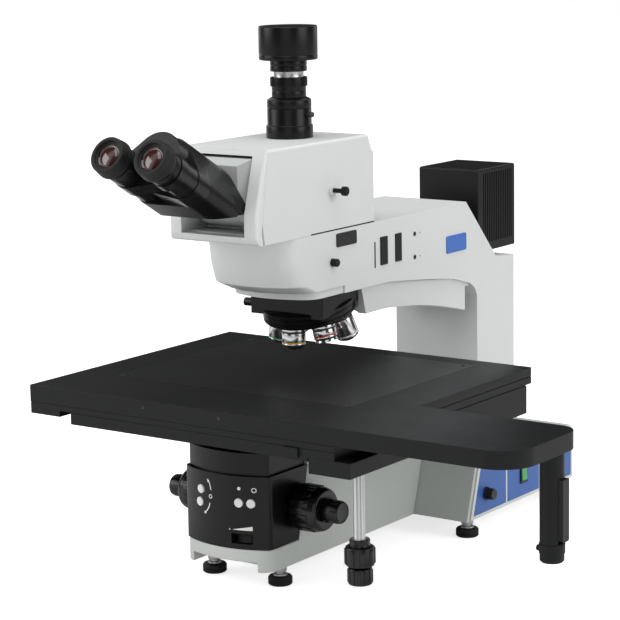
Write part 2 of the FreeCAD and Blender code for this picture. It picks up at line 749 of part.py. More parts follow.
# Analyser rod, two filter sliders and their bore
analyserY, analyserZ = -7, lightZ - 2
rodHole = cylinder("analyser_bore", 3.05, 60, 21, analyserY, analyserZ, towardX)
arm = parts.pop(parts.index(body) - 1)
arm.Label = "column_arm_casting"
keep(cut("column_arm", arm, rodHole))

body = newBody("analyser_rod")
revolve(body, (0, 0), (3, 0), (3, width + 0.3 - 24), (5.2, width + 0.3 - 24),
        (5.2, width + 8 - 24), (4.4, width + 9 - 24), (0, width + 9 - 24))
place(body, 24, analyserY, analyserZ, towardX)
keep(body)

for name, (a, b) in zip(("filter_slider_front", "filter_slider_rear"), filterSpans):
    body = newBody(name)
    play = 0.15
    pad(body, "x", -41, width - 1, rect(a + play, b - play, filterLow + play, filterHigh - play))
    pad(body, "x", width - 1.1, width + 1.6, rect(a + play, b - play, filterLow + play, filterHigh - play))
    pocket(body, "y", a - 1, b + 1, ring(0, lightZ, 13))
    keep(body)

# Window cover, plain badge plate and screws on the right of the arm
body = newBody("arm_fittings")
outer = width + 1.5
pad(body, "x", width, outer, rect(2, 48, s.armTop - 26.7, s.armTop - 2.7))
pad(body, "x", width, outer, rect(-46, -36, s.armTop - 10.7, s.armTop - 4.7))
pad(body, "x", width, outer, rect(261, 312, lightZ - 43, lightZ - 4))
for y, z in ((183, lightZ - 21), (183, lightZ + 10), (25, s.armTop + 3), (228, s.armTop - 14.7), (300, s.armTop - 19.7)):
    pad(body, "x", width, width + 0.8, ring(y, z, 3.2))
keep(body)

# Mirror, tube lens and beam splitter on the optical axis
mirror = document.addObject("Part::Box", "half_mirror")
mirror.Label = "half_mirror"
for prop, value in (("Length", 31.6), ("Width", 1.5), ("Height", 34)):
    setattr(mirror, prop, value)
place(mirror, -15.8, 11.2, lightZ - 12.4, turn((1, 0, 0), 45))
holder = cut("mirror_cell", cylinder("cell_outer", 19.95, 8, 0, 0, s.flangeUnder + 12),
             cylinder("cell_inner", 17, 10, 0, 0, s.flangeUnder + 11))
lens = cylinder("tube_lens", 19.95, 6, 0, 0, s.armTop - 10)
keep(group("inner_optics", mirror, holder, lens))

# Trinocular head with the drum cavity, the splitter space and the photo tube's bore
headWidth = s.headHalf
seamTop, seamLow = -s.headSeam + 3, -s.headSeam - 11
splitterY, splitterZ = -5, s.drumZ - 8
body = newBody("head_housing")
pad(body, "x", -headWidth, headWidth,
    poly((seamLow + 4, s.headBottom), (s.headBack, s.headBottom), (s.headBack, s.headTop - 23),
         (s.headBack - 4, s.headTop - 21), (s.headBack - 12, s.headTop - 1), (s.headBack - 14, s.headTop),
         (seamTop, s.headTop), (seamLow, s.headBottom + 25)))
cavityHalf = s.drumHalf + s.gap
pocket(body, "x", -cavityHalf, cavityHalf, ring(-s.drumY, s.drumZ, s.drumRadius + s.slideGap))
pocket(body, "x", -cavityHalf, cavityHalf,
       rect(-s.drumY - 60, -s.drumY, s.drumZ - s.drumRadius - 3, s.drumZ + s.drumRadius + 3))
pocket(body, "z", s.headBottom - 1, s.headTop + 1, ring(0, 0, 14))
pocket(body, "x", -26, 33, rect(splitterY - 14.5, splitterY + 14.5, splitterZ - 14.5, splitterZ + 14.5))
pad(body, "x", headWidth - 1, headWidth + 3, ring(splitterY, splitterZ, 7.5))
pocket(body, "x", 30, headWidth + 4, ring(splitterY, splitterZ, 3.05))
dress(body, "Fillet", 4,
      lambda edge, box: box.XLength < 0.1 and abs(abs(box.XMin) - headWidth.value) < 0.1
      and abs(box.ZMin - s.headTop.value) < 0.1)
keep(body)

body = newBody("head_bezel")
pad(body, "x", -headWidth, headWidth,
    poly((seamLow + 3.7, s.headBottom), (seamLow - 0.3, s.headBottom + 25), (seamTop - 0.3, s.headTop),
         (seamTop - 4, s.headTop), (-s.drumY - 44, s.drumZ + 2), (-s.drumY - 51, s.drumZ - 24),
         (-s.drumY - 51, s.headBottom + 9), (-s.drumY - 47, s.headBottom + 2), (-s.drumY - 44, s.headBottom)))
pocket(body, "y", -180, -120, rect(-cavityHalf - 0.7, cavityHalf + 0.7, s.headBottom + 10, s.drumZ + s.drumRadius + 3))
dress(body, "Fillet", 5,
      lambda edge, box: box.XLength < 0.1 and abs(abs(box.XMin) - headWidth.value) < 0.1
      and box.YMax < -140 and box.ZLength > 15)
keep(body)

body = newBody("splitter_rod")
revolve(body, (0, 0), (3, 0), (3, width + 16 - 17.5), (6, width + 17 - 17.5),
        (6, width + 22 - 17.5), (5, width + 23 - 17.5), (0, width + 23 - 17.5))
place(body, 17.5, splitterY, splitterZ, towardX)
keep(body)
keep(box("splitter_prism", -13, 17.5, splitterY - 14.2, splitterY + 14.2, splitterZ - 14.2, splitterZ + 14.2))

# Photo port, adapter and camera
def turned(label, *points):
    item = newBody(label)
    revolve(item, *points)
    keep(item)
    return item


tube, top = s.portRadius, s.portTop
turned("phototube", (15, s.headTop), (tube + 1.7, s.headTop), (tube + 1.7, s.headTop + 16), (tube, s.headTop + 16),
       (tube, top - 14), (tube - 1, top - 13.5), (tube, top - 13), (tube, top - 3), (tube - 5, top), (15, top))
pad(document.getObject("phototube"), "x", tube - 4, tube + 8, ring(0, top - 16.5, 2.2))
pad(document.getObject("phototube"), "x", tube + 7, tube + 15.5, ring(0, top - 16.5, 3.9))
slim = s.adapterRadius
body = turned("camera_adapter", (12, top + 0.1), (slim, top + 0.1), (slim, s.ringLow),
              (s.ringRadius, s.ringLow), (s.ringRadius, s.ringHigh), (slim - 2.8, s.ringHigh),
              (slim - 2.8, s.ringHigh + 7), (slim + 1.5, s.ringHigh + 7), (slim + 1.5, s.cameraLow), (12, s.cameraLow))
groove = pocket(body, "z", s.ringLow + 1, s.ringHigh - 1, rect(s.ringRadius - 0.5, s.ringRadius + 1, -0.7, 0.7))
around(body, groove, 36)
cam = s.cameraRadius
turned("camera", (0, s.cameraLow + 0.1), (cam - 1, s.cameraLow + 0.1), (cam, s.cameraLow + 1.1), (cam, s.cameraLow + 6.5),
       (cam - 0.5, s.cameraLow + 7), (cam, s.cameraLow + 7.5), (cam, s.cameraTop - 1), (cam - 1, s.cameraTop), (0, s.cameraTop))

# Binocular frame: x across, y across the tubes' plane and z toward the eyes, from the eye lenses
def eyeFrame(item):
    item.Placement = FreeCAD.Placement(Vec(0, 0, 0), turn((1, 0, 0), 60))
    bind(item, "Placement.Rotation.Angle", 90 - s.tubeAngle)
    bind(item, "Placement.Base.y", -s.eyeY)
    bind(item, "Placement.Base.z", s.eyeZ)


def tangentQuad(ax, ay, ra, bx, by, rb):
    """Four tangent points of the belt round two circles."""
    dx, dy = asDim(bx) - ax, asDim(by) - ay
    apart = root(dx * dx + dy * dy)
    ux, uy = dx / apart, dy / apart
    k = (asDim(ra) - rb) / apart
    m = root(1 - k * k)
    points = []
    for side, cx, cy, radius in ((1, ax, ay, ra), (-1, ax, ay, ra), (-1, bx, by, rb), (1, bx, by, rb)):
        nx = ux * k - uy * m * side
        ny = uy * k + ux * m * side
        points.append((asDim(cx) + nx * radius, asDim(cy) + ny * radius))
    return poly(*points)


def belt(body, low, high, first, second):
    """Solid round two circles of one plane, with its straight flanks."""
    pad(body, "z", low, high, ring(*first))
    pad(body, "z", low, high, tangentQuad(*(first + second)))
    pad(body, "z", low, high, ring(*second))


rise, hub, armR = s.hubRise, s.hubRadius, s.armRadius
halfSpread = s.eyeSpread / 2
pinRadius, tubeBore = 10, 15.1
baseFront = s.hubEnd + s.gap

# The drum turns in the head and carries the binocular's body
body = newBody("drum_barrel")
drumEdge, drumR = 13.5, s.drumRadius
revolve(body, (0, -s.drumHalf), (drumR - drumEdge, -s.drumHalf), (drumR, drumEdge - s.drumHalf),
        (drumR, s.drumHalf - drumEdge), (drumR - drumEdge, s.drumHalf), (0, s.drumHalf))
place(body, 0, -s.drumY, s.drumZ, towardX)
drum = body
block = newBody("drum_block")
blockFace, bevel = -s.drumY - s.drumRadius - 0.1, 12.5
blockLow, blockHigh = s.drumZ - 30, s.drumZ + 44
pad(block, "x", -s.drumHalf, s.drumHalf,
    poly((-s.drumY, blockLow), (-s.drumY, blockHigh), (blockFace + bevel, blockHigh), (blockFace, blockHigh - 8),
         (blockFace, blockLow + bevel), (blockFace + bevel, blockLow)))
for side in (-1, 1):
    edge, inner = s.drumHalf * side, (s.drumHalf - bevel) * side
    pocket(block, "z", blockLow - 1, blockHigh + 1,
           poly((inner, blockFace), (edge, blockFace + bevel), (edge + side, blockFace + bevel),
                (edge + side, blockFace - 1), (inner, blockFace - 1)))
body = newBody("binocular_solid")
belt(body, -s.binocularEnd - 22, -baseFront, (0, rise, hub), (halfSpread, 0, armR - 0.5))
belt(body, -s.binocularEnd - 22, -baseFront, (0, rise, hub), (-halfSpread, 0, armR - 0.5))
pad(body, "z", -s.binocularEnd - 22, -baseFront, rect(-halfSpread, halfSpread, 0.5 - armR, 10))
pad(body, "z", -baseFront - 0.1, -s.leftStart - 4, ring(0, rise, pinRadius))
eyeFrame(body)
seat = cylinder("drum_seat", s.drumRadius + 0.05, 200, -100, -s.drumY, s.drumZ, towardX)
below = box("below_body", -80, 80, -320, 0, s.drumZ - 114, s.drumZ - 21)
behind = box("behind_body", -80, 80, -s.drumY - 32, 60, s.drumZ - 114, s.drumZ + 146)
cheekTrims = [cylinder("cheek_trim_%d" % number, s.drumRadius + 28.5, 60, x, -s.drumY, s.drumZ, towardX)
              for number, x in enumerate((s.drumHalf - 0.3, -s.drumHalf - 59.7))]
keep(cut("binocular_base", body, fuse("binocular_trims", seat, below, behind, block, *cheekTrims)))
keep(fuse("tilt_drum", drum, block))

left, right = -halfSpread, halfSpread
split = s.rightStart - s.gap
body = newBody("left_eye_arm")
belt(body, -split, -s.leftStart, (0, rise, hub - 2.5), (left, 0, armR))
pad(body, "z", -s.hubEnd, -split + 0.1, ring(left - 1.4, 0, armR - 2.3))
pocket(body, "z", -s.hubEnd - 1, -split - 0.02, ring(0, rise, hub + 0.5))
pocket(body, "z", -split - 1, -s.leftStart + 1, ring(0, rise, pinRadius + s.fit))
pocket(body, "z", -s.leftStart - 18, -s.leftStart + 1, ring(left, 0, tubeBore))
eyeFrame(body)
keep(body)

rightFace = 30
body = newBody("right_eye_arm")
belt(body, -s.hubEnd, -s.rightStart, (0, rise, hub), (right, 0, armR))
pad(body, "z", -s.rightStart - 0.1, s.gap - s.leftStart + 0.1, ring(right + 1.4, 0, armR - 2.3))
pad(body, "z", s.gap - s.leftStart, -rightFace, ring(right, 0, armR))
pocket(body, "z", -s.rightStart + 0.02, s.gap - s.leftStart, ring(0, rise, hub - 2))
pocket(body, "z", -s.hubEnd - 1, -s.rightStart + 1, ring(0, rise, pinRadius + s.fit))
pocket(body, "z", -rightFace - 12, -rightFace + 1, ring(right, 0, tubeBore))
eyeFrame(body)
keep(body)

for name, x, face in (("left_eyepiece", left, s.leftStart), ("right_eyepiece", right, asDim(rightFace))):
    body = newBody(name)
    cup = s.eyecupRadius
    foot = -face - 11
    revolve(body, (0, foot), (tubeBore - s.fit, foot), (tubeBore - s.fit, -face + s.gap),
            (armR - 1, -face + s.gap), (armR - 1, -15), (cup - 1, -14.5), (cup, -12), (cup - 1, -2), (cup - 2, 4),
            (cup - 6, 4), (17, 0.5), (0, 0))
    body.Placement = FreeCAD.Placement(Vec(0, 0, 0), turn((1, 0, 0), 60))
    bind(body, "Placement.Rotation.Angle", 90 - s.tubeAngle)
    place(body, x, -s.eyeY, s.eyeZ)
    keep(body)

# Lamp housing with cooling grooves on both sides, and the lamp on its bracket
body = newBody("lamp_house")
lampHalf, lampFront, lampBack = s.lampHalf, s.lampFront, s.lampBack
lampLow, lampTop = s.lampLow, s.lampTop
slopeRun = (s.shelfFront - s.slopeFront) / (s.armTop - s.shelfTop - 4)
meet = (s.armTop - lampLow) * slopeRun + s.slopeFront + 2
pad(body, "x", -lampHalf, lampHalf,
    poly((meet, lampLow), (lampBack, lampLow), (lampBack, lampTop), (lampFront, lampTop),
         (lampFront, (lampFront - s.slopeFront - 2) / slopeRun * -1 + s.armTop)))
dress(body, "Fillet", 3,
      lambda edge, box: box.ZLength < 0.1 and abs(box.ZMin - s.lampTop.value) < 0.1)
pocket(body, "y", lampFront + 20, lampBack - 8, rect(-30, 30, lampLow + 16, lampTop - 14))
sides = []
for side in (-1, 1):
    inner, outer = (lampHalf - s.finDepth) * side, (lampHalf + 1) * side
    low, high = (inner, outer) if side > 0 else (outer, inner)
    sides.append(poly((low, lampFront + 14), (high, lampFront + 14), (high, lampFront + 16), (low, lampFront + 16)))
fins = pocket(body, "z", lampLow + 12, lampTop - 7, *sides)
along(body, fins, "Y_Axis", (s.finCount - 1) * s.finPitch, s.finCount)
pocket(body, "y", lampFront - 1, lampFront + 21, ring(0, lightZ, 16))
house = body
body = newBody("lamp_collar")
pad(body, "y", s.columnFront - 15, lampFront, ring(0, lightZ, collarRadius), ring(0, lightZ, 16))
house.Label = "lamp_house_shell"
keep(fuse("lamp_house", house, body))
body = newBody("lamp")
lampY = lampFront + 50
body2 = cylinder("lamp_bulb", 7, 24, 0, lampY, lightZ - 6)
socket = box("lamp_socket", -12, 12, lampY - 8, lampY + 8, lampLow + 16, lightZ - 5.9)
document.removeObject(body.Name)
keep(fuse("lamp", body2, socket))

# Nosepiece carrier, turret and objectives; the turret turns about a tilted axis
tilt = s.turretTilt
cosT = derive("tiltCosine", cosine(tilt), "cosine of the turret's tilt")
sinT = derive("tiltSine", sine(tilt), "sine of the turret's tilt")
circle = s.portCircle
centreY = derive("turretCentreY", circle * cosT, "turret centre behind the axis")
centreZ = derive("turretCentreZ", s.shoulderHeight + circle * sinT, "height of the turret centre")


def turretFrame(item):
    item.Placement = FreeCAD.Placement(Vec(0, 0, 0), turn((1, 0, 0), 13))
    bind(item, "Placement.Rotation.Angle", tilt)
    bind(item, "Placement.Base.y", centreY)
    bind(item, "Placement.Base.z", centreZ)


rimTop = s.turretThick - 1
rim = s.turretRadius
body = newBody("turret_disc")
slopeT = sinT / cosT
revolve(body, (8.05, (14 - circle) * slopeT + 0.05), (14, (14 - circle) * slopeT + 0.05),
        (54, (54 - circle) * slopeT + 0.05), (57.5, (54 - circle) * slopeT + 0.3), (rim, 6.5), (rim, 10), (rim - 1, 10.6), (rim - 1, 12),
        (rim, 12.6), (rim, rimTop - 1.5), (rim - 1.5, rimTop), (8.05, rimTop))
knurl = pocket(body, "z", 7, 9.6, rect(rim - 0.6, rim + 1, -0.8, 0.8))
around(body, knurl, 60)
turretFrame(body)
disc = body


def objectivePlacement(item, angle):
    """Stands an objective at its port; its own z axis points into the turret."""
    c, q = math.cos(math.radians(angle)), math.sin(math.radians(angle))
    c, q = round(c, 6), round(q, 6)
    axis = Vec(0, -math.sin(math.radians(tilt.value)), math.cos(math.radians(tilt.value)))
    item.Placement = FreeCAD.Placement(Vec(0, 0, 0), FreeCAD.Rotation(axis, angle))
    bind(item, "Placement.Base.x", circle * q)
    bind(item, "Placement.Base.y", centreY - circle * cosT * c)
    bind(item, "Placement.Base.z", centreZ - circle * sinT * c)


bores = []
for number, angle in enumerate((0, 60, 120, 180, 240, 300), 1):
    bore = document.addObject("Part::Cylinder", "port_%d" % number)
    bind(bore, "Radius", s.threadRadius)
    bind(bore, "Height", s.portDeep + 3)
    holderBody = document.addObject("Part::Compound", "port_bore_%d" % number)
    holderBody.Links = [bore]
    bore.Placement = FreeCAD.Placement(Vec(0, 0, -3), FreeCAD.Rotation())
    objectivePlacement(holderBody, angle)
    bores.append(holderBody)
keep(cut("turret", disc, fuse("turret_ports", *bores)))

objectives = [("objective_10x", 0, 27, 15.4, 9), ("objective_5x", 60, 22, 15.4, 13),
              ("objective_100x", 120, 37.5, 15, 6), ("objective_50x", 240, 34, 15, 6.5),
              ("objective_20x", 300, 30, 15.2, 8)]
for name, angle, length, radius, tip in objectives:
    body = newBody(name)
    revolve(body, (0, s.portDeep - 1), (s.threadRadius - 0.1, s.portDeep - 1), (s.threadRadius - 0.1, 0), (radius, 0),
            (radius, -4.6), (radius - 0.5, -5), (radius - 0.5, -6), (radius, -6.4), (radius, 9 - length),
            (radius - 0.6, 8.6 - length), (radius - 0.6, 7.4 - length), (radius - 0.2, 7 - length),
            (tip + 1, -length), (tip - 1.5, -length), (tip - 2.5, 1.5 - length), (0, 1.5 - length))
    objectivePlacement(body, angle)
    keep(body)

# Carrier above the turret with the slot for the prism slider
def planeZ(y, height):
    """World height of a level of the turret at a place."""
    return centreZ + asDim(height) / cosT + (asDim(y) - centreY) * sinT / cosT


carrierTop = s.flangeUnder - 0.1
body = newBody("carrier_block")
pad(body, "x", -57, 57,
    poly((-14, planeZ(-14, s.turretThick)), (61, planeZ(61, s.turretThick)), (61, carrierTop), (-14, carrierTop)))
sliderZ = s.flangeUnder - 20
pocket(body, "z", s.shoulderHeight, carrierTop + 1, ring(0, 0, 12))
pocket(body, "x", -58, 30, rect(-7.1, 7.1, sliderZ - 3.1, sliderZ + 3.1))
body2 = newBody("carrier_disc")
revolve(body2, (0, 0), (8, 0), (8, rimTop + s.gap), (rim + 1, rimTop + s.gap),
        (rim + 1, rimTop + 5), (rim - 2, rimTop + 6.5), (0, rimTop + 6.5))
turretFrame(body2)
lightHole = cylinder("light_hole", 12, 80, 0, 0, s.shoulderHeight)
slot = box("prism_slot", -58, 30, -7.1, 7.1, sliderZ - 3.1, sliderZ + 3.1)
disc2 = cut("carrier_disc_cut", body2, fuse("carrier_tools", lightHole, slot))
keep(fuse("nosepiece_mount", body, disc2))

body = newBody("prism_slider")
pad(body, "x", -57, 14, rect(-7, 7, sliderZ - 3, sliderZ + 3))
pad(body, "x", -76, -57.5, ring(0, sliderZ, 5.5))
pad(body, "x", -57.6, -56.9, ring(0, sliderZ, 3))
pocket(body, "z", sliderZ - 4, sliderZ + 4, ring(0, 0, 9))
keep(body)

# Black lower cover with its openings
coverBack = -60
body = newBody("front_cover")
pad(body, "z", s.baseStep + 0.2, s.coverSplit, frontSketch(0.4, s.coverCorner, coverBack))
pocket(body, "z", s.baseStep, s.coverSplit + 1, frontSketch(s.coverWall, s.coverCorner - 3, coverBack + 5))
wallGap = 0.3
pocket(body, "x", -half - 1, half + 1,
       poly((wallAt(s.baseStep - 2) - wallGap, s.baseStep - 2), (coverBack + 1, s.baseStep - 2),
            (coverBack + 1, s.coverSplit + 2), (wallAt(s.coverSplit + 2) - wallGap, s.coverSplit + 2)))
pocket(body, "x", -half - 1, half + 1, ring(-s.shaftY, s.shaftZ, shaftTube + 0.3))
wheelX, wheelZ = 31.5, 67.2
wheelY = -143.3
pocket(body, "y", -170, -140, rect(wheelX - 14, wheelX + 14, wheelZ - 6.4, wheelZ + 6.4))
cover = body

curve = (half * half + s.frontBulge * s.frontBulge) / (s.frontBulge * 2)
arcCentre = derive("frontArcCentre", curve - s.baseFront - s.frontBulge, "centre of the covers' front arc")
faceRadius = derive("coverFaceRadius", curve - 0.4, "radius of the lower cover's face")
buttons = [("button_upper", -29.6, 123.6), ("button_lower", -31.8, 107), ("button_left", 28.8, 113.4),
           ("button_right", 44.2, 113.4)]
holes = []


def onFace(item, x):
    """Stands an item upright on the curved face, its own z axis pointing out of it."""
    angle = math.degrees(math.asin(x / faceRadius.value))
    out = turn((0, 0, 1), angle).multiply(turn((1, 0, 0), 90))
    item.Placement = FreeCAD.Placement(Vec(0, 0, 0), out)
    bind(item, "Placement.Base.x", x)
    bind(item, "Placement.Base.y", arcCentre - root(faceRadius * faceRadius - x * x))


caps = []
for name, x, z in buttons:
    hole = document.addObject("Part::Cylinder", name + "_hole")
    bind(hole, "Radius", s.buttonRadius + s.gap)
    hole.Height = 16
    shifted = document.addObject("Part::Compound", name + "_bore")
    hole.Placement = FreeCAD.Placement(Vec(0, 0, -8), FreeCAD.Rotation())
    shifted.Links = [hole]
    onFace(shifted, x)
    shifted.Placement.Base.z = z
    holes.append(shifted)
    body = newBody(name)
    r = s.buttonRadius
    revolve(body, (0, -3), (r, -3), (r, s.buttonProud - 0.6), (r - 0.6, s.buttonProud), (0, s.buttonProud))
    onFace(body, x)
    body.Placement.Base.z = z
    caps.append(body)
keep(cut("front_cover_shell", cover, fuse("button_holes", *holes)))
parts.pop()
shell = document.getObject("front_cover_shell")
cover.Label = "front_cover_blank"
shell.Label = "front_cover"
keep(shell, *caps)

body = newBody("dimmer_wheel")
wheel, thick = s.wheelRadius, s.wheelThick
revolve(body, (2.55, 0), (wheel - 0.8, 0), (wheel, 0.8), (wheel, thick - 0.8), (wheel - 0.8, thick), (2.55, thick))
notch = pocket(body, "z", -1, thick + 1, rect(wheel - 0.6, wheel + 1, -0.6, 0.6))
around(body, notch, 36)
place(body, wheelX, wheelY, wheelZ - thick / 2)
keep(body)

# Focus guide: two cheeks on the base's front wall, the shaft tube and the pin of the wheel
cheekLow, cheekHigh = 60, 160
tubeHalf = half + 0.5
cheeks = newBody("guide_cheeks")
guideX = s.carriageHalf + s.slideGap
for low, high in ((guideX, guideX + 11), (-guideX - 11, -guideX)):
    pad(cheeks, "x", low, high,
        poly((-s.carriageFront - 1, cheekLow), (wallAt(cheekLow), cheekLow),
             (wallAt(cheekHigh), cheekHigh), (-s.carriageFront - 1, cheekHigh)))
tubes = []
for side in (-1, 1):
    start = guideX if side > 0 else -tubeHalf
    tube = document.addObject("Part::Cylinder", "shaft_tube_%d" % (side + 2))
    bind(tube, "Radius", asDim(shaftTube))
    bind(tube, "Height", tubeHalf - guideX)
    place(tube, start, -s.shaftY, s.shaftZ, towardX)
    tubes.append(tube)
bore = cylinder("shaft_bore", s.coarseShaft + s.fit, 160, -80, -s.shaftY, s.shaftZ, towardX)
wheelPin = cylinder("wheel_pin", 2.5, 13.5, wheelX, wheelY, wheelZ - 7.5)
wheelFoot = box("wheel_foot", wheelX - 5, wheelX + 5, wheelY - 5, wheelY + 8, s.baseStep, wheelZ - 5.6)
keep(cut("focus_guide", fuse("guide_solid", cheeks, tubes[0], tubes[1], wheelPin, wheelFoot), bore))

# Focus carriage with its rack
carriageTop = s.baseplateLow
rackPitchY = derive("rackPitchY", s.pinionPitch - s.shaftY, "rack pitch line")
rackPitchY = derive("rackPitchLine", -s.shaftY - s.pinionPitch, "pitch line of the rack")
toothPitch = derive("toothPitch", s.pinionPitch * (2 * math.pi) / s.pinionTeeth, "pitch of the rack's teeth")
body = newBody("focus_carriage")
pad(body, "x", -s.carriageHalf, s.carriageHalf,
    rect(-s.carriageFront, -s.carriageBack, s.carriageLow, carriageTop))
pad(body, "x", -8, 8, rect(-s.carriageBack - 0.1, rackPitchY - 1.25, s.carriageLow, 110))
low = s.shaftZ - toothPitch * 11.5
tooth = pad(body, "x", -8, 8,
            poly((rackPitchY - 1.3, low - 1.12), (rackPitchY + 0.9, low - 0.32),
                 (rackPitchY + 0.9, low + 0.32), (rackPitchY - 1.3, low + 1.12)))
along(body, tooth, "Z_Axis", toothPitch * 14, 15)
keep(body)

# Upper cover, hung from the stage base and sliding inside the lower cover
body = newBody("upper_cover")
inset = s.coverWall + s.slideGap - 0.4
pad(body, "z", s.upperSkirt, s.baseplateLow, frontSketch(inset, s.coverCorner - 3, coverBack))
pocket(body, "z", s.upperSkirt - 1, s.baseplateLow + 1, frontSketch(inset + 3, s.coverCorner - 5, coverBack + 5))
wallGap = 1.8
pocket(body, "x", -half - 1, half + 1,
       poly((wallAt(s.upperSkirt - 2) - wallGap, s.upperSkirt - 2), (coverBack + 1, s.upperSkirt - 2),
            (coverBack + 1, s.baseplateLow + 2), (wallAt(s.baseplateLow + 2) - wallGap, s.baseplateLow + 2)))
keep(body)

# Coarse and fine focus on one line; the pinion is cut on the coarse shaft
body = newBody("coarse_knobs")
shaft, innerShaft = s.coarseShaft, s.fineShaft + s.fit
knobIn, knobOut = tubeHalf + 3, s.coarseOut
coarse = s.coarseRadius
revolve(body, (innerShaft, -knobOut), (coarse - 4, -knobOut), (coarse - 2, 1.5 - knobOut), (coarse, 8 - knobOut),
        (coarse, -knobIn - 1), (coarse - 1, -knobIn), (shaft + 6, -knobIn), (shaft + 6, 0.3 - tubeHalf - 0.6),
        (shaft, 0.3 - tubeHalf - 0.6), (shaft, tubeHalf + 0.3), (shaft + 6, tubeHalf + 0.3), (shaft + 6, knobIn),
        (coarse - 1, knobIn), (coarse, knobIn + 1), (coarse, knobOut - 8), (coarse - 2, knobOut - 1.5),
        (coarse - 4, knobOut), (innerShaft, knobOut))
flutes = []
for low, high in ((knobIn + 4, knobOut - 9), (9 - knobOut, -knobIn - 4)):
    groove = pocket(body, "z", low, high, rect(coarse - 0.6, coarse + 1, -0.8, 0.8))
    around(body, groove, 40)
pitch = s.pinionPitch
flank = pad(body, "z", -8, 8, poly((-pitch - 0.9, -0.26), (-pitch - 0.9, 0.26), (-pitch, 0.64), (1.5 - pitch, 1.0),
                                   (1.5 - pitch, -1.0), (-pitch, -0.64)))
around(body, flank, s.pinionTeeth)
place(body, 0, -s.shaftY, s.shaftZ, towardX)
keep(body)

body = newBody("fine_knobs")
fine, end = s.fineRadius, s.fineOut
start = s.coarseOut + 0.3
revolve(body, (0, -end), (fine - 1, -end), (fine, 1 - end), (fine, -start), (s.fineShaft, -start),
        (s.fineShaft, start), (fine, start), (fine, end - 1), (fine - 1, end), (0, end))
for low, high in ((start + 3, end - 3), (3 - end, -start - 3)):
    groove = pocket(body, "z", low, high, rect(fine - 0.5, fine + 1, -0.6, 0.6))
    around(body, groove, 30)
place(body, 0, -s.shaftY, s.shaftZ, towardX)
keep(body)

# Stage base on the focus carriage
body = newBody("stage_base")
stageLow = s.baseplateLow
pad(body, "z", stageLow, s.middleLow - s.gap,
    rect(-s.baseplateHalf - 25, s.baseplateHalf + 3, -s.baseplateFront, s.baseplateBack))
keep(body)

# Middle plate, with its left skirt, sliding along Y
plateFront, plateBack = -s.plateFront, s.plateBack
plateLow = s.plateTop - s.plateThick
middleTop = plateLow - s.gap
body = newBody("middle_plate")
pad(body, "z", s.middleLow, middleTop, rect(-s.middleLeft, s.middleRight, plateFront, plateBack - 5))
pad(body, "z", s.skirtLow + 8, middleTop, rect(-s.skirtRight - 1, -s.middleLeft + 1, plateFront, plateBack - 5))
pad(body, "z", s.skirtLow, middleTop, rect(-s.plateLeft + 0.6, -s.skirtRight, plateFront, plateBack - 5))
pad(body, "z", s.skirtLow - 4, s.skirtLow + 7, rect(137, 157, plateFront - 3, plateFront + 4))
pocket(body, "z", s.middleLow - 1, s.middleLow + 4.7,
       rect(s.driveBoxLeft - 1, s.middleRight + 1, plateFront - 1, s.driveBoxBack + 1))
pocket(body, "x", -s.middleLeft - 1, s.middleRight + 1, rect(plateFront - 1, plateFront + 0.8, 209, 209.8))
keep(body)

driveTop = s.middleLow + 4.7
body = newBody("drive_box")
pad(body, "z", s.driveBoxLow, driveTop, rect(s.driveBoxLeft, s.driveBoxRight, plateFront, s.driveBoxBack))
pad(body, "z", driveTop - 1, middleTop, rect(s.middleRight + 0.2, s.driveBoxRight, -60, s.driveBoxBack))
pocket(body, "z", s.driveBoxLow - 1, s.driveBoxLow + 8, ring(s.rodX, -s.rodY, s.rodRadius + s.fit))
pocket(body, "z", s.driveBoxLow + 7, s.driveBoxLow + 15, ring(s.rodX, -s.rodY, 4.05))
keep(body)

# Top plate with the clutch arm, sliding along X on the middle plate
body = newBody("top_plate")
front, back = -s.plateFront, s.plateBack
reach, armRound, armRear = s.armReach, s.armRound, s.armRoundBack
pad(body, "z", plateLow, s.plateTop,
    ("arced",
     [(-s.plateLeft, front), (reach - armRound, front), (reach, front + armRound),
      (reach, -s.armBack - armRear), (reach - armRear, -s.armBack), (s.plateRight, -s.armBack),
      (s.plateRight, back), (-s.plateLeft, back)],
     {1: (reach - armRound, front + armRound), 3: (reach - armRear, -s.armBack - armRear)}))
pocket(body, "z", s.plateTop - 12.6, s.plateTop - 11.8,
       rect(s.plateRight - 1.2, s.plateRight + 1, -s.armBack - 1, back + 1))
insertDeep = s.plateTop - s.insertThick


def roundedRect(x0, x1, y0, y1, r):
    x0, x1, y0, y1 = asDim(x0), asDim(x1), asDim(y0), asDim(y1)
    return ("arced", [(x0, y1 - r), (x0, y0 + r), (x0 + r, y0), (x1 - r, y0),
                      (x1, y0 + r), (x1, y1 - r), (x1 - r, y1), (x0 + r, y1)],
            {1: (x0 + r, y0 + r), 3: (x1 - r, y0 + r), 5: (x1 - r, y1 - r), 7: (x0 + r, y1 - r)})


pocket(body, "z", insertDeep, s.plateTop + 1,
       roundedRect(-s.insertLeft, s.insertRight, -s.insertFront, s.insertBack, 9))
keep(body)
body = newBody("stage_insert")
pad(body, "z", insertDeep, s.plateTop - 0.1,
    roundedRect(s.gap - s.insertLeft, s.insertRight - s.gap, s.gap - s.insertFront, s.insertBack - s.gap, 8.7))
for x in (-s.insertLeft + 12, s.insertRight - 12):
    for y in (-s.insertFront + 12, s.insertBack - 12):
        pocket(body, "z", s.plateTop - 1.5, s.plateTop + 1, ring(x, y, 3))
keep(body)

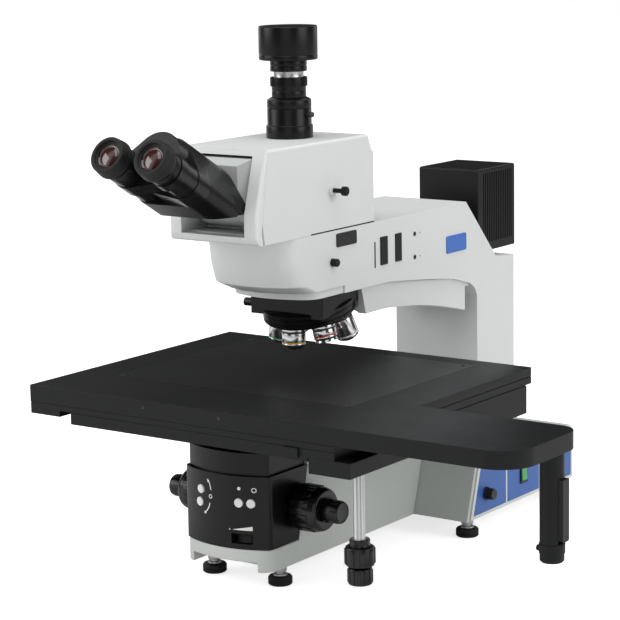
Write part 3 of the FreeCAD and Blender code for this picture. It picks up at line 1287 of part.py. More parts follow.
# Clutch post with its ring and squeeze lever
post = s.postRadius
postTop, postLow = plateLow, s.postLow
body = newBody("clutch_post")
revolve(body, (0, postLow), (post - 2, postLow), (post, postLow + 2), (post, postLow + 11), (post + 1, postLow + 11.3),
        (post + 1, postLow + 22), (post, postLow + 22.3), (post, postTop), (0, postTop))
pocket(body, "x", 7.5, post + 3, rect(-7.5, 7.5, postLow + 23, postTop - 31))
pad(body, "x", -post - 4.8, -post + 2, ring(0, postLow + 14, 3.6))
pivotX, pivotZ = 11.5, postTop - 31.3 - 4.5
pad(body, "y", -8, 8, ring(pivotX, pivotZ, 1.5))
place(body, s.postX, -s.postY, 0)
keep(body)
body = newBody("clutch_lever")
leverTop = postTop - 31.3
pad(body, "x", post - 2.5, post + 4, rect(-7.2, 7.2, postLow + 26, leverTop))
pad(body, "x", 7.8, post, rect(-7.2, 7.2, leverTop - 9, leverTop))
pocket(body, "y", -8, 8, ring(pivotX, pivotZ, 1.5 + s.fit))
dress(body, "Fillet", 2.5,
      lambda edge, box: box.XLength > 2 and abs(abs(box.YMin) - 7.2) < 0.1 and box.YLength < 0.1
      and box.ZLength < 0.1 and box.ZMin < 150 and box.XMax > 18)
place(body, s.postX, -s.postY, 0)
keep(body)

# Two drive knobs on one line under the drive box: outer tube for Y, inner shaft for X
body = newBody("y_drive_knob")
upper, tubeR = s.upperKnobRadius, s.rodRadius
revolve(body, (4.05, s.upperKnobLow), (upper - 1, s.upperKnobLow), (upper, s.upperKnobLow + 1),
        (upper, s.upperKnobTop - 2), (upper - 2, s.upperKnobTop), (12, s.upperKnobTop), (11, s.upperKnobTop + 9),
        (tubeR, s.upperKnobTop + 9), (tubeR, s.driveBoxLow + 7.7), (4.05, s.driveBoxLow + 7.7))
groove = pocket(body, "z", s.upperKnobLow + 3, s.upperKnobTop - 4, rect(upper - 0.6, upper + 1, -0.7, 0.7))
around(body, groove, 32)
place(body, s.rodX, -s.rodY, 0)
keep(body)
body = newBody("x_drive_knob")
lower = s.lowerKnobRadius
revolve(body, (0, s.lowerKnobLow), (lower - 1, s.lowerKnobLow), (lower, s.lowerKnobLow + 1),
        (lower, s.lowerKnobTop - 1), (lower - 1, s.lowerKnobTop), (4, s.lowerKnobTop),
        (4, s.driveBoxLow + 14.7), (0, s.driveBoxLow + 14.7))
groove = pocket(body, "z", s.lowerKnobLow + 3, s.lowerKnobTop - 3, rect(lower - 0.6, lower + 1, -0.7, 0.7))
around(body, groove, 28)
place(body, s.rodX, -s.rodY, 0)
keep(body)

document.recompute()
for item in document.Objects:
    if "Invalid" in item.State or "Error" in item.State:
        raise RuntimeError("%s is not built: %s" % (item.Label, item.State))
for feature, before in cuts:
    if feature.Shape.Volume > before.Shape.Volume - 0.01:
        raise RuntimeError("a pocket of %s takes nothing away" % feature.Label)
os.makedirs("parts", exist_ok=True)
labels = set()
for item in parts:
    shape = item.Shape
    if shape.isNull() or not shape.isValid() or shape.Volume <= 0:
        raise RuntimeError("%s has no valid shape" % item.Label)
    if item.Label in labels:
        raise RuntimeError("%s comes twice" % item.Label)
    labels.add(item.Label)
    shape.exportStep("parts/%s.step" % item.Label)
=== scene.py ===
import bpy
import bmesh
import math
from mathutils import Matrix, Vector


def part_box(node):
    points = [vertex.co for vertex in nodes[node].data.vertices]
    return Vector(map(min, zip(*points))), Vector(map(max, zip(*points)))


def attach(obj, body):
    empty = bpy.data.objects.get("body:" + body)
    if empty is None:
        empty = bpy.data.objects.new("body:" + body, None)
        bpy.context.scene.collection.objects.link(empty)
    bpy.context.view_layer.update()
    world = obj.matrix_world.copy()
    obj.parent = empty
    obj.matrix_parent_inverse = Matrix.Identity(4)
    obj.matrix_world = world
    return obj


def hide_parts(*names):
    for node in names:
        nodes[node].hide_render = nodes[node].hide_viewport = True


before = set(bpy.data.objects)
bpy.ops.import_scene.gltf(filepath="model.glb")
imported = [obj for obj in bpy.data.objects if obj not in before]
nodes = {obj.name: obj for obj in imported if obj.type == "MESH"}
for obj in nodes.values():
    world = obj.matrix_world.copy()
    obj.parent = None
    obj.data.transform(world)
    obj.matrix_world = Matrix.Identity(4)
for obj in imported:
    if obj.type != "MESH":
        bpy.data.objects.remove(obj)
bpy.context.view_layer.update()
mm = 0.001
print("frame loaded")


# shader maths written as plain sums

class Signal:
    def __init__(self, tree, socket):
        self.tree = tree
        self.socket = socket

    def combine(self, operation, *others):
        node = self.tree.nodes.new("ShaderNodeMath")
        node.operation = operation
        for index, value in enumerate((self,) + others):
            if isinstance(value, Signal):
                self.tree.links.new(value.socket, node.inputs[index])
            else:
                node.inputs[index].default_value = value
        return Signal(self.tree, node.outputs[0])

    def __add__(self, other):
        return self.combine("ADD", other)

    def __sub__(self, other):
        return self.combine("SUBTRACT", other)

    def __mul__(self, other):
        return self.combine("MULTIPLY", other)

    def sine(self):
        return self.combine("SINE")

    def least(self, other):
        return self.combine("MINIMUM", other)

    def most(self, other):
        return self.combine("MAXIMUM", other)

    def clamped(self):
        return self.least(1.0).most(0.0)


class Finish:
    def __init__(self, name):
        self.material = bpy.data.materials.new(name)
        self.material.use_nodes = True
        self.tree = self.material.node_tree
        self.tree.nodes.clear()
        self.shader = self.tree.nodes.new("ShaderNodeBsdfPrincipled")
        output = self.tree.nodes.new("ShaderNodeOutputMaterial")
        self.tree.links.new(self.shader.outputs[0], output.inputs[0])
        coordinates = self.tree.nodes.new("ShaderNodeTexCoord")
        self.place = coordinates.outputs["Object"]

    def noise(self, scale, detail=2.0, rough=0.5):
        node = self.tree.nodes.new("ShaderNodeTexNoise")
        node.inputs["Scale"].default_value = scale
        node.inputs["Detail"].default_value = detail
        node.inputs["Roughness"].default_value = rough
        self.tree.links.new(self.place, node.inputs["Vector"])
        return Signal(self.tree, node.outputs["Fac"])

    def mixed(self, amount, first, second):
        node = self.tree.nodes.new("ShaderNodeMix")
        node.data_type = "RGBA"
        self.tree.links.new(amount.socket, node.inputs["Factor"])
        for index, colour in ((6, first), (7, second)):
            node.inputs[index].default_value = colour + (1.0,)
        return node.outputs[2]

    def feed(self, socket, value):
        target = self.shader.inputs[socket]
        if isinstance(value, Signal):
            self.tree.links.new(value.socket, target)
        elif isinstance(value, bpy.types.NodeSocket):
            self.tree.links.new(value, target)
        else:
            target.default_value = value

    def bump(self, height, strength, distance=0.0002):
        node = self.tree.nodes.new("ShaderNodeBump")
        node.inputs["Strength"].default_value = strength
        node.inputs["Distance"].default_value = distance
        self.tree.links.new(height.socket, node.inputs["Height"])
        self.tree.links.new(node.outputs[0], self.shader.inputs["Normal"])


paintWear = {"cloudScale": 14.0, "cloudShare": 0.7, "grainShare": 0.3, "cloudRough": 0.12, "grainRough": 0.1,
             "coatRoughness": 0.15}


def paintFinish(name, colour, shade, roughness, grain, grainStrength, coat=0.0, metal=0.0, specular=0.5):
    finish = Finish(name)
    cloud = finish.noise(paintWear["cloudScale"], detail=3.0)
    fine = finish.noise(grain, rough=0.6)
    blend = (cloud * paintWear["cloudShare"] + fine * paintWear["grainShare"]).clamped()
    finish.feed("Base Color", finish.mixed(blend, colour, shade))
    finish.feed("Roughness", (cloud - 0.5) * paintWear["cloudRough"] + (fine - 0.5) * paintWear["grainRough"]
                + roughness)
    finish.feed("Metallic", metal)
    finish.feed("Coat Weight", coat)
    finish.shader.inputs["Coat Roughness"].default_value = paintWear["coatRoughness"]
    finish.shader.inputs["Specular IOR Level"].default_value = specular
    finish.bump(fine, grainStrength)
    return finish.material


finishes = {
    "whitePaint": paintFinish("white_powder_coat", (0.66, 0.675, 0.665), (0.615, 0.63, 0.625), 0.42, 900.0,
                              0.12),
    # painted shade: a darker, greyer copy of the white paint for the base casting and rear housing
    "shadedBasePaint": paintFinish("base_shaded_powder_coat", (0.56, 0.59, 0.565), (0.52, 0.55, 0.525), 0.42, 900.0, 0.12),
    # painted shade: a darker copy of the white paint for the tilt drum, which sits under the head
    "shadedDrumPaint": paintFinish("drum_shaded_paint", (0.44, 0.46, 0.45), (0.41, 0.43, 0.42), 0.4, 900.0, 0.1),
    "button": paintFinish("white_button_plastic", (0.8, 0.8, 0.78), (0.76, 0.76, 0.74), 0.4, 900.0, 0.04,
                          coat=0.2),
    "satinBlack": paintFinish("satin_black_paint", (0.002, 0.002, 0.0023), (0.004, 0.004, 0.0043), 0.3,
                              1100.0, 0.08, specular=0.25),
    "softBlack": paintFinish("soft_black_plastic", (0.0025, 0.0025, 0.0028), (0.0045, 0.0045, 0.0048), 0.26,
                             1300.0, 0.1, specular=0.4),
    "stageBlack": paintFinish("stage_anodised", (0.0055, 0.006, 0.0068), (0.0085, 0.009, 0.0098), 0.42,
                              1500.0, 0.08, specular=0.2),
    "insertBlack": paintFinish("insert_anodised", (0.009, 0.0095, 0.0105), (0.012, 0.0125, 0.0135), 0.34,
                               1500.0, 0.03, specular=0.3),
    "bluePanel": paintFinish("blue_panel_paint", (0.03, 0.105, 0.36), (0.036, 0.12, 0.4), 0.4, 1100.0, 0.08),
    "badgeBlue": paintFinish("badge_blue_paint", (0.035, 0.13, 0.46), (0.04, 0.145, 0.5), 0.35, 1100.0, 0.05),
    "darkGrey": paintFinish("dark_grey_metal", (0.04, 0.042, 0.045), (0.055, 0.057, 0.06), 0.35, 1500.0, 0.05,
                            metal=0.3, specular=0.4),
    "chrome": paintFinish("satin_chrome", (0.62, 0.62, 0.63), (0.7, 0.7, 0.71), 0.14, 2200.0, 0.02,
                          metal=1.0),
    "steel": paintFinish("brushed_steel", (0.42, 0.42, 0.43), (0.5, 0.5, 0.51), 0.3, 2200.0, 0.05, metal=0.8),
    "aluminium": paintFinish("satin_aluminium", (0.6, 0.6, 0.61), (0.68, 0.68, 0.69), 0.3, 1800.0, 0.05,
                             metal=0.85),
    "rubber": paintFinish("black_rubber", (0.005, 0.005, 0.005), (0.009, 0.009, 0.009), 0.6, 700.0, 0.3,
                          specular=0.3),
    "green": paintFinish("green_switch_plastic", (0.02, 0.28, 0.07), (0.03, 0.34, 0.09), 0.28, 900.0, 0.04,
                         coat=0.4),
    "lens": paintFinish("coated_lens", (0.03, 0.008, 0.006), (0.05, 0.014, 0.012), 0.08, 40.0, 0.0, coat=0.5),
    "mark": paintFinish("white_print", (0.8, 0.8, 0.78), (0.72, 0.72, 0.7), 0.5, 900.0, 0.05),
}
print("finishes made")


# shared steps: points join within a distance in metres, the other values are angles in degrees

softened = {"joined": 0.00001, "flat": 1.5, "sharp": 35.0, "turned": 32.0, "ribs": 40.0, "plates": 30.0}


def placed(name, data):
    item = bpy.data.objects.new(name, data)
    bpy.context.scene.collection.objects.link(item)
    return item


def settled(item):
    graph = bpy.context.evaluated_depsgraph_get()
    item.data = bpy.data.meshes.new_from_object(item.evaluated_get(graph), depsgraph=graph)
    item.modifiers.clear()


def meshFrom(shape, name):
    bmesh.ops.recalc_face_normals(shape, faces=shape.faces)
    mesh = bpy.data.meshes.new(name)
    shape.to_mesh(mesh)
    shape.free()
    return mesh


def smoothSurface(item, angle):
    item.data.shade_smooth()
    item.data.set_sharp_from_angle(angle=math.radians(angle))


def flattened(item):
    weighted = item.modifiers.new("flat_faces", "WEIGHTED_NORMAL")
    weighted.keep_sharp = True
    settled(item)


def give(item, *names):
    if len(item.data.materials):
        item.data.materials.clear()
    for name in names:
        item.data.materials.append(finishes[name])


# pieces taken from the frame's own shapes, with their edges rounded

def edgeSoftened(nodeName, body, width, finish, angle=28.0, segments=2):
    mesh = nodes[nodeName].data.copy()
    mesh.name = nodeName + "_shape"
    item = placed(nodeName + "_finished", mesh)
    shape = bmesh.new()
    shape.from_mesh(mesh)
    bmesh.ops.remove_doubles(shape, verts=shape.verts, dist=softened["joined"])
    bmesh.ops.dissolve_limit(shape, angle_limit=math.radians(softened["flat"]), verts=shape.verts,
                             edges=shape.edges, delimit={"NORMAL"})
    shape.to_mesh(mesh)
    shape.free()
    bevel = item.modifiers.new("rounding", "BEVEL")
    bevel.width = width * mm
    bevel.segments = segments
    bevel.limit_method = "ANGLE"
    bevel.angle_limit = math.radians(angle)
    bevel.harden_normals = False
    bevel.use_clamp_overlap = True
    settled(item)
    smoothSurface(item, softened["sharp"])
    flattened(item)
    give(item, finish)
    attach(item, body)
    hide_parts(nodeName)


castPieces = {
    "base_casting": ("stand", 1.5, "shadedBasePaint", "white_paint"),
    "rear_housing": ("stand", 1.5, "shadedBasePaint", "white_paint"),
    "side_panel": ("stand", 0.5, "whitePaint", "white_paint"),
    "control_panels": ("stand", 0.3, "bluePanel", "blue_panel"),
    "column_arm": ("stand", 1.6, "whitePaint", "white_paint"),
    "nose_plate": ("stand", 0.8, "whitePaint", "white_paint"),
    "head_housing": ("stand", 1.5, "whitePaint", "white_paint"),
    "head_bezel": ("stand", 2.0, "whitePaint", "white_paint"),
    "lamp_house": ("stand", 0.6, "satinBlack", "black_paint"),
    "front_cover": ("stand", 0.8, "satinBlack", "black_paint"),
    "upper_cover": ("focus", 0.8, "satinBlack", "black_paint"),
    "stage_base": ("focus", 1.0, "stageBlack", "black_paint"),
    "middle_plate": ("stage_y", 0.8, "stageBlack", "stage_black"),
    "drive_box": ("stage_y", 0.8, "stageBlack", "stage_black"),
    "top_plate": ("stage_x", 1.0, "stageBlack", "stage_black"),
    "stage_insert": ("stage_x", 0.4, "insertBlack", "stage_black"),
    "nosepiece_mount": ("stand", 0.8, "satinBlack", "black_paint"),
    "binocular_base": ("tilt_head", 1.0, "satinBlack", "black_paint"),
    "tilt_drum": ("tilt_head", 0.6, "shadedDrumPaint", "white_paint"),
    "left_eye_arm": ("left_eye", 0.6, "softBlack", "black_paint"),
    "right_eye_arm": ("right_eye", 0.6, "softBlack", "black_paint"),
}
for nodeName, (body, width, finish, slot) in castPieces.items():
    edgeSoftened(nodeName, body, width, finish)
print("castings and plates rounded")

# finishes of the nodes shown as they are packed, and of those that a piece below replaces
plainFinish = {
    "arm_fittings": "satinBlack", "inner_optics": "lens", "splitter_prism": "lens", "lamp": "steel",
    "levelling_feet": "rubber", "power_inlet": "softBlack", "phototube": "whitePaint",
    "camera_adapter": "steel", "camera": "satinBlack", "focus_guide": "darkGrey",
    "focus_carriage": "darkGrey", "rocker_bezel": "softBlack", "clutch_post": "stageBlack",
    "y_drive_knob": "softBlack", "x_drive_knob": "softBlack", "clutch_lever": "satinBlack",
    "coarse_knobs": "softBlack", "fine_knobs": "softBlack", "turret": "satinBlack",
    "objective_5x": "chrome", "objective_10x": "chrome", "objective_20x": "chrome",
    "objective_50x": "chrome", "objective_100x": "chrome", "prism_slider": "satinBlack",
    "splitter_rod": "satinBlack", "analyser_rod": "satinBlack", "filter_slider_front": "satinBlack",
    "filter_slider_rear": "satinBlack", "left_eyepiece": "rubber", "right_eyepiece": "rubber",
    "button_upper": "button", "button_lower": "button", "button_left": "button",
    "button_right": "button", "dimmer_wheel": "rubber", "lamp_knob": "softBlack",
    "power_rocker": "green",
}
for nodeName, finish in plainFinish.items():
    give(nodes[nodeName], finish)


# pieces turned on a lathe: radius and height pairs, with small rounded corners

cornerLimits = {"share": 0.4, "least": 0.02, "straight": 172}


def roundedOutline(points, radius):
    result = [points[0]]
    for index in range(1, len(points) - 1):
        before, here, after = (Vector(points[index + step]) for step in (-1, 0, 1))
        backward, onward = before - here, after - here
        reach = min(radius, backward.length * cornerLimits["share"], onward.length * cornerLimits["share"])
        if reach < cornerLimits["least"] or backward.angle(onward) > math.radians(cornerLimits["straight"]):
            result.append(tuple(here))
            continue
        start = here + backward.normalized() * reach
        end = here + onward.normalized() * reach
        middle = (start + end) * 0.25 + here * 0.5
        result += [tuple(start), tuple(middle), tuple(end)]
    result.append(points[-1])
    return result


def turnedMesh(shape, points, steps, radius, bands):
    outline = roundedOutline(points, radius)
    rows = []
    for r, z in outline:
        if r < 0.001:
            rows.append([shape.verts.new((0, 0, z * mm))])
        else:
            rows.append([shape.verts.new((r * mm * math.cos(2 * math.pi * step / steps),
                                          r * mm * math.sin(2 * math.pi * step / steps), z * mm))
                         for step in range(steps)])
    for index in range(len(rows) - 1):
        low, high = rows[index], rows[index + 1]
        heightMiddle = (outline[index][1] + outline[index + 1][1]) / 2
        radiusMiddle = (outline[index][0] + outline[index + 1][0]) / 2
        chosen = 0
        for bottom, top, reach, finishIndex in bands:
            if bottom <= heightMiddle <= top and radiusMiddle >= reach:
                chosen = finishIndex
        for step in range(steps):
            after = (step + 1) % steps
            if len(low) == 1 and len(high) == 1:
                continue
            if len(low) == 1:
                face = shape.faces.new((low[0], high[after], high[step]))
            elif len(high) == 1:
                face = shape.faces.new((low[step], low[after], high[0]))
            else:
                face = shape.faces.new((low[step], low[after], high[after], high[step]))
            face.material_index = chosen
            face.smooth = True


def turnedPiece(name, body, replaced, place, outlines, finishNames, bands=(), steps=96, radius=0.5):
    shape = bmesh.new()
    for points in outlines:
        turnedMesh(shape, points, steps, radius, bands)
    mesh = meshFrom(shape, name)
    mesh.transform(place)
    item = placed(name, mesh)
    give(item, *finishNames)
    item.data.set_sharp_from_angle(angle=math.radians(softened["turned"]))
    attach(item, body)
    if replaced:
        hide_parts(*replaced)


def standing(x, y, z=0.0):
    return Matrix.Translation((x * mm, y * mm, z * mm))


def facingX(x, y, z):
    return standing(x, y, z) @ Matrix.Rotation(math.radians(90), 4, "Y")


eyePlace = {"tilt": 60.0, "y": -313.0, "z": 555.0}


def eyeFrame(x, y=0.0, z=0.0):
    lean = Matrix.Rotation(math.radians(eyePlace["tilt"]), 4, "X")
    return standing(0, eyePlace["y"], eyePlace["z"]) @ lean @ standing(x, y, z)


# ribs and teeth repeated round an axis with a node tree

class RepeatTree:
    def __init__(self, name):
        self.tree = bpy.data.node_groups.new(name, "GeometryNodeTree")
        self.tree.interface.new_socket("Geometry", in_out="OUTPUT", socket_type="NodeSocketGeometry")
        self.start = None

    def number(self, name, value, kind="NodeSocketFloat"):
        socket = self.tree.interface.new_socket(name, in_out="INPUT", socket_type=kind)
        socket.default_value = value
        if self.start is None:
            self.start = self.tree.nodes.new("NodeGroupInput")

    def add(self, kind, **settings):
        node = self.tree.nodes.new(kind)
        for key, value in settings.items():
            setattr(node, key, value)
        return node

    def join(self, output, target):
        self.tree.links.new(output, target)

    def mesh(self, name):
        holder = placed(name, bpy.data.meshes.new(name + "_empty"))
        modifier = holder.modifiers.new("repeat", "NODES")
        modifier.node_group = self.tree
        graph = bpy.context.evaluated_depsgraph_get()
        result = bpy.data.meshes.new_from_object(holder.evaluated_get(graph), depsgraph=graph)
        bpy.data.objects.remove(holder)
        return result


def ribRing(name, body, place, finish, count, ringRadius, rib, lowZ, highZ, rounding=0.0):
    repeat = RepeatTree(name + "_tree")
    for key, value in (("Ring radius", ringRadius * mm), ("Rib width", rib[0] * mm),
                       ("Rib depth", rib[1] * mm), ("Rib length", (highZ - lowZ) * mm),
                       ("Height", (highZ + lowZ) / 2 * mm)):
        repeat.number(key, value)
    repeat.number("Count", count, "NodeSocketInt")
    start = repeat.start
    circle = repeat.add("GeometryNodeMeshCircle", fill_type="NONE")
    repeat.join(start.outputs["Count"], circle.inputs["Vertices"])
    repeat.join(start.outputs["Ring radius"], circle.inputs["Radius"])
    size = repeat.add("ShaderNodeCombineXYZ")
    repeat.join(start.outputs["Rib depth"], size.inputs[0])
    repeat.join(start.outputs["Rib width"], size.inputs[1])
    repeat.join(start.outputs["Rib length"], size.inputs[2])
    block = repeat.add("GeometryNodeMeshCube")
    repeat.join(size.outputs[0], block.inputs["Size"])
    spot = repeat.add("GeometryNodeInputPosition")
    facing = repeat.add("FunctionNodeAlignRotationToVector", axis="X")
    repeat.join(spot.outputs[0], facing.inputs["Vector"])
    spread = repeat.add("GeometryNodeInstanceOnPoints")
    repeat.join(circle.outputs["Mesh"], spread.inputs["Points"])
    repeat.join(block.outputs["Mesh"], spread.inputs["Instance"])
    repeat.join(facing.outputs[0], spread.inputs["Rotation"])
    real = repeat.add("GeometryNodeRealizeInstances")
    repeat.join(spread.outputs[0], real.inputs[0])
    lift = repeat.add("ShaderNodeCombineXYZ")
    repeat.join(start.outputs["Height"], lift.inputs[2])
    move = repeat.add("GeometryNodeTransform")
    repeat.join(real.outputs[0], move.inputs["Geometry"])
    repeat.join(lift.outputs[0], move.inputs["Translation"])
    colour = repeat.add("GeometryNodeSetMaterial")
    colour.inputs["Material"].default_value = finishes[finish]
    repeat.join(move.outputs[0], colour.inputs["Geometry"])
    end = repeat.add("NodeGroupOutput")
    repeat.join(colour.outputs[0], end.inputs[0])
    mesh = repeat.mesh(name)
    mesh.transform(place)
    item = placed(name, mesh)
    if rounding:
        bevel = item.modifiers.new("rounding", "BEVEL")
        bevel.width = rounding * mm
        bevel.segments = 2
        settled(item)
    give(item, finish)
    smoothSurface(item, softened["ribs"])
    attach(item, body)


# eyepieces: rubber cup, metal rings, tube and coated lens
for side, x, face in (("left", -32.5, 43.0), ("right", 32.5, 30.0)):
    cup = [(15.05, -face - 11), (15.05, -face + 0.3), (21.5, -face + 0.3), (21.5, -20), (21.0, -19.5),
           (21.0, -18.5), (21.5, -18), (21.5, -15), (23.5, -14.6), (24.5, -12), (24.2, -8), (23.8, -7.6),
           (23.8, -7), (24.0, -6.6), (23.4, -2), (22.6, 3.4), (21.6, 4), (18.6, 4), (17.8, 3.2),
           (17.2, 0.6), (15.4, 0.2)]
    glass = [(15.4, 0.2), (15.0, -1.2), (13.6, -2.4), (12.2, -2.6), (12, -1.6), (9, -0.6), (6, 0.1), (3, 0.4),
             (0, 0.5)]
    turnedPiece(side + "_eyecup", side + "_ocular", [side + "_eyepiece"], eyeFrame(x),
                [cup], ["rubber", "satinBlack", "steel"],
                bands=[(-60, -14.7, 0, 1), (-18.6, -17.9, 20, 2)], radius=0.7)
    turnedPiece(side + "_eye_lens", side + "_ocular", None, eyeFrame(x),
                [glass], ["lens", "softBlack"], bands=[(-1.7, 0.25, 13.2, 1)], radius=0.15)

# photo port, adapter and camera
turnedPiece("photo_tube", "stand", ["phototube"], standing(0, 0),
            [[(15, 549), (29.7, 549), (29.7, 564.6), (28.6, 565), (28, 565.4), (28, 586), (27.3, 586.4),
              (27.3, 587), (28, 587.4), (28, 597), (23, 600), (15, 600)]], ["satinBlack"], radius=0.6)
turnedPiece("adapter", "stand", ["camera_adapter"], standing(0, 0),
            [[(12, 600.1), (21.7, 600.1), (21.7, 608), (21.3, 608.3), (21.3, 608.9), (21.7, 609.2),
              (21.7, 613.7), (23.2, 613.9), (23.2, 625.5), (18.9, 625.7), (18.9, 632.6), (23.2, 632.8),
              (23.2, 639), (22.8, 639.4), (22.8, 640.2), (23.2, 640.6), (23.2, 647), (12, 647)]],
            ["satinBlack", "steel"], bands=[(626.0, 632.4, 18, 1)], radius=0.5)
ribRing("adapter_ribs", "stand", standing(0, 0), "satinBlack", 72, 23.2, (1.1, 0.7), 614.6, 624.8)
turnedPiece("camera_shell", "stand", ["camera"], standing(0, 0),
            [[(0, 647.1), (36, 647.1), (37, 648.1), (37, 653.2), (36.4, 653.6), (36.4, 654.4), (37, 654.8),
              (37, 688.2), (36.2, 689.4), (0, 689.4)]], ["satinBlack"], radius=0.8, steps=128)

# objectives: satin chrome barrels with coloured rings
tilt = math.radians(13.0)
shoulderZ, circleRadius = 304.5, 38.0
turretCentre = Vector((0, circleRadius * math.cos(tilt), shoulderZ + circleRadius * math.sin(tilt))) * mm
turretAxis = Vector((0, -math.sin(tilt), math.cos(tilt)))


def portPlace(angle):
    spin = Matrix.Translation(turretCentre) @ Matrix.Rotation(math.radians(angle), 4, turretAxis)
    return spin @ Matrix.Translation(Vector((0, 0, shoulderZ * mm)) - turretCentre)


objectiveKinds = {
    "objective_10x": {"angle": 0, "length": 27, "radius": 15.4, "tip": 9, "ring": (0.75, 0.42, 0.02)},
    "objective_5x": {"angle": 60, "length": 22, "radius": 15.4, "tip": 13, "ring": (0.55, 0.02, 0.05)},
    "objective_100x": {"angle": 120, "length": 37.5, "radius": 15, "tip": 6, "ring": (0.75, 0.75, 0.74)},
    "objective_50x": {"angle": 240, "length": 34, "radius": 15, "tip": 6.5, "ring": (0.1, 0.35, 0.7)},
    "objective_20x": {"angle": 300, "length": 30, "radius": 15.2, "tip": 8, "ring": (0.04, 0.4, 0.1)},
}
for nodeName, kind in objectiveKinds.items():
    length, reach, tip = kind["length"], kind["radius"], kind["tip"]
    finishes[nodeName] = paintFinish(nodeName + "_ring", kind["ring"], kind["ring"], 0.4, 900.0, 0.02)
    low = -length
    barrel = [(0, 6), (12.9, 6), (12.9, 0), (reach, -0.1), (reach, -4.4), (reach - 0.6, -4.8),
              (reach - 0.6, -6), (reach, -6.4), (reach, low + 9.4), (reach - 0.3, low + 9),
              (reach - 0.3, low + 7.6), (reach, low + 7.2), (reach, low + 5.4), (reach - 1.6, low + 3.4),
              (tip + 2.2, low + 0.8), (tip + 0.8, low), (tip - 1.5, low), (tip - 2.5, low + 1.5),
              (0, low + 1.2)]
    turnedPiece(nodeName + "_barrel", "nosepiece", [nodeName], portPlace(kind["angle"]),
                [barrel], ["chrome", nodeName, "darkGrey", "lens"],
                bands=[(low + 7.5, low + 9.1, reach - 0.5, 1), (-6.2, -4.6, reach - 0.8, 2),
                       (low + 3.2, low + 5.6, 0, 2)],
                steps=80, radius=0.4)

# milled rim of the turret
turretPlace = Matrix.Translation(turretCentre) @ Matrix.Rotation(tilt, 4, "X")
ribRing("turret_milling", "nosepiece", turretPlace, "satinBlack", 96, 59.7, (1.6, 0.7),
        6.6, 9.9)

# focus knobs with deep ribs
focusShaft = facingX(0, -86.4, 98)
for side in (-1, 1):
    place = focusShaft if side > 0 else focusShaft @ Matrix.Rotation(math.pi, 4, "X")
    name = "right" if side > 0 else "left"
    coarseNode, fineNode = (["coarse_knobs"], ["fine_knobs"]) if side > 0 else (None, None)
    turnedPiece(name + "_coarse_knob", "coarse_focus", coarseNode, place,
                [[(2.55, 40), (4.5, 40), (4.5, 67.4), (10.5, 67.4), (10.5, 70), (28, 70), (28.6, 71.5),
                  (28.6, 98), (28.2, 99), (27.5, 104), (26, 107.4), (24.5, 108.5), (16, 108.5), (15.6, 107.6),
                  (2.55, 107.6)]],
                ["softBlack"], radius=1.0)
    ribRing(name + "_coarse_ribs", "coarse_focus", place, "softBlack", 18, 28.3, (5.4, 3.0),
            73, 97.5, 1.0)
    turnedPiece(name + "_fine_knob", "fine_focus", fineNode, place,
                [[(0, 60), (2.5, 60), (2.5, 108.8), (13.6, 108.8), (14, 109.4), (14, 131.5), (12.8, 133),
                  (11.5, 133), (11, 132.4), (0, 132.4)]], ["softBlack"], radius=0.6)
    ribRing(name + "_fine_ribs", "fine_focus", place, "softBlack", 14, 13.7, (3.2, 2.0),
            110.5, 129.5, 0.7)

# printed marks on the curved lower cover: lines of (x, z) points
coverCurve = {"centre": -36.82, "radius": 127.8, "proud": 0.12}


def coverFace(x, z, proud):
    depth = math.sqrt((coverCurve["radius"] + proud) ** 2 - x * x)
    return (x * mm, (coverCurve["centre"] - depth) * mm, z * mm)


def printedMark(name, points, width, closed=False, filled=False):
    shape = bmesh.new()
    proud = coverCurve["proud"]
    if filled:
        shape.faces.new([shape.verts.new(coverFace(x, z, proud)) for x, z in points])
    else:
        count = len(points)
        sides = []
        for index, (x, z) in enumerate(points):
            before = points[(index - 1) % count] if closed or index else points[index]
            after = points[(index + 1) % count] if closed or index < count - 1 else points[index]
            along = Vector((after[0] - before[0], after[1] - before[1])).normalized() * width / 2
            sides.append([shape.verts.new(coverFace(x - along.y, z + along.x, proud)),
                          shape.verts.new(coverFace(x + along.y, z - along.x, proud))])
        for index in range(count if closed else count - 1):
            first, second = sides[index], sides[(index + 1) % count]
            shape.faces.new((first[0], first[1], second[1], second[0]))
    item = placed(name, meshFrom(shape, name))
    give(item, "mark")
    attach(item, "stand")


def circlePoints(x, z, radius, count=20, start=0.0, sweep=360.0):
    return [(x + radius * math.cos(math.radians(start + sweep * step / count)),
             z + radius * math.sin(math.radians(start + sweep * step / count))) for step in range(count)]


markLines = {
    "upper_arc": ([(-17, 136.3), (-15.2, 134.4), (-14, 132), (-13, 128.4), (-12.2, 124.6)],
                  1.5, False, False),
    "upper_arc_head": ([(-18.9, 138.2), (-14.6, 136.5), (-17.6, 133.6)], 1.0, False, True),
    "lower_arc": ([(-14.5, 107.9), (-15.6, 104), (-17.4, 100.6), (-20, 97.2), (-23.1, 94.4)],
                  1.5, False, False),
    "lower_arc_head": ([(-25.2, 92.8), (-20.9, 93.4), (-23.6, 96.8)], 1.0, False, True),
    "small_ring": (circlePoints(-13.2, 116.3, 2.3), 1.0, True, False),
    "round_dot": (circlePoints(29.4, 131.5, 2.2), 1.0, False, True),
    "large_ring": (circlePoints(48.1, 130.2, 2.7), 1.0, True, False),
    "wheel_point": ([(14.6, 77.8), (16.6, 77.8), (15.6, 80.2)], 1.0, False, True),
}
for name, (points, width, closed, filled) in markLines.items():
    printedMark("mark_" + name, points, width, closed, filled)
wedge = {"left": 20.0, "right": 45.5, "low": 78.5, "thin": 0.3, "rise": 5.2, "steps": 9}
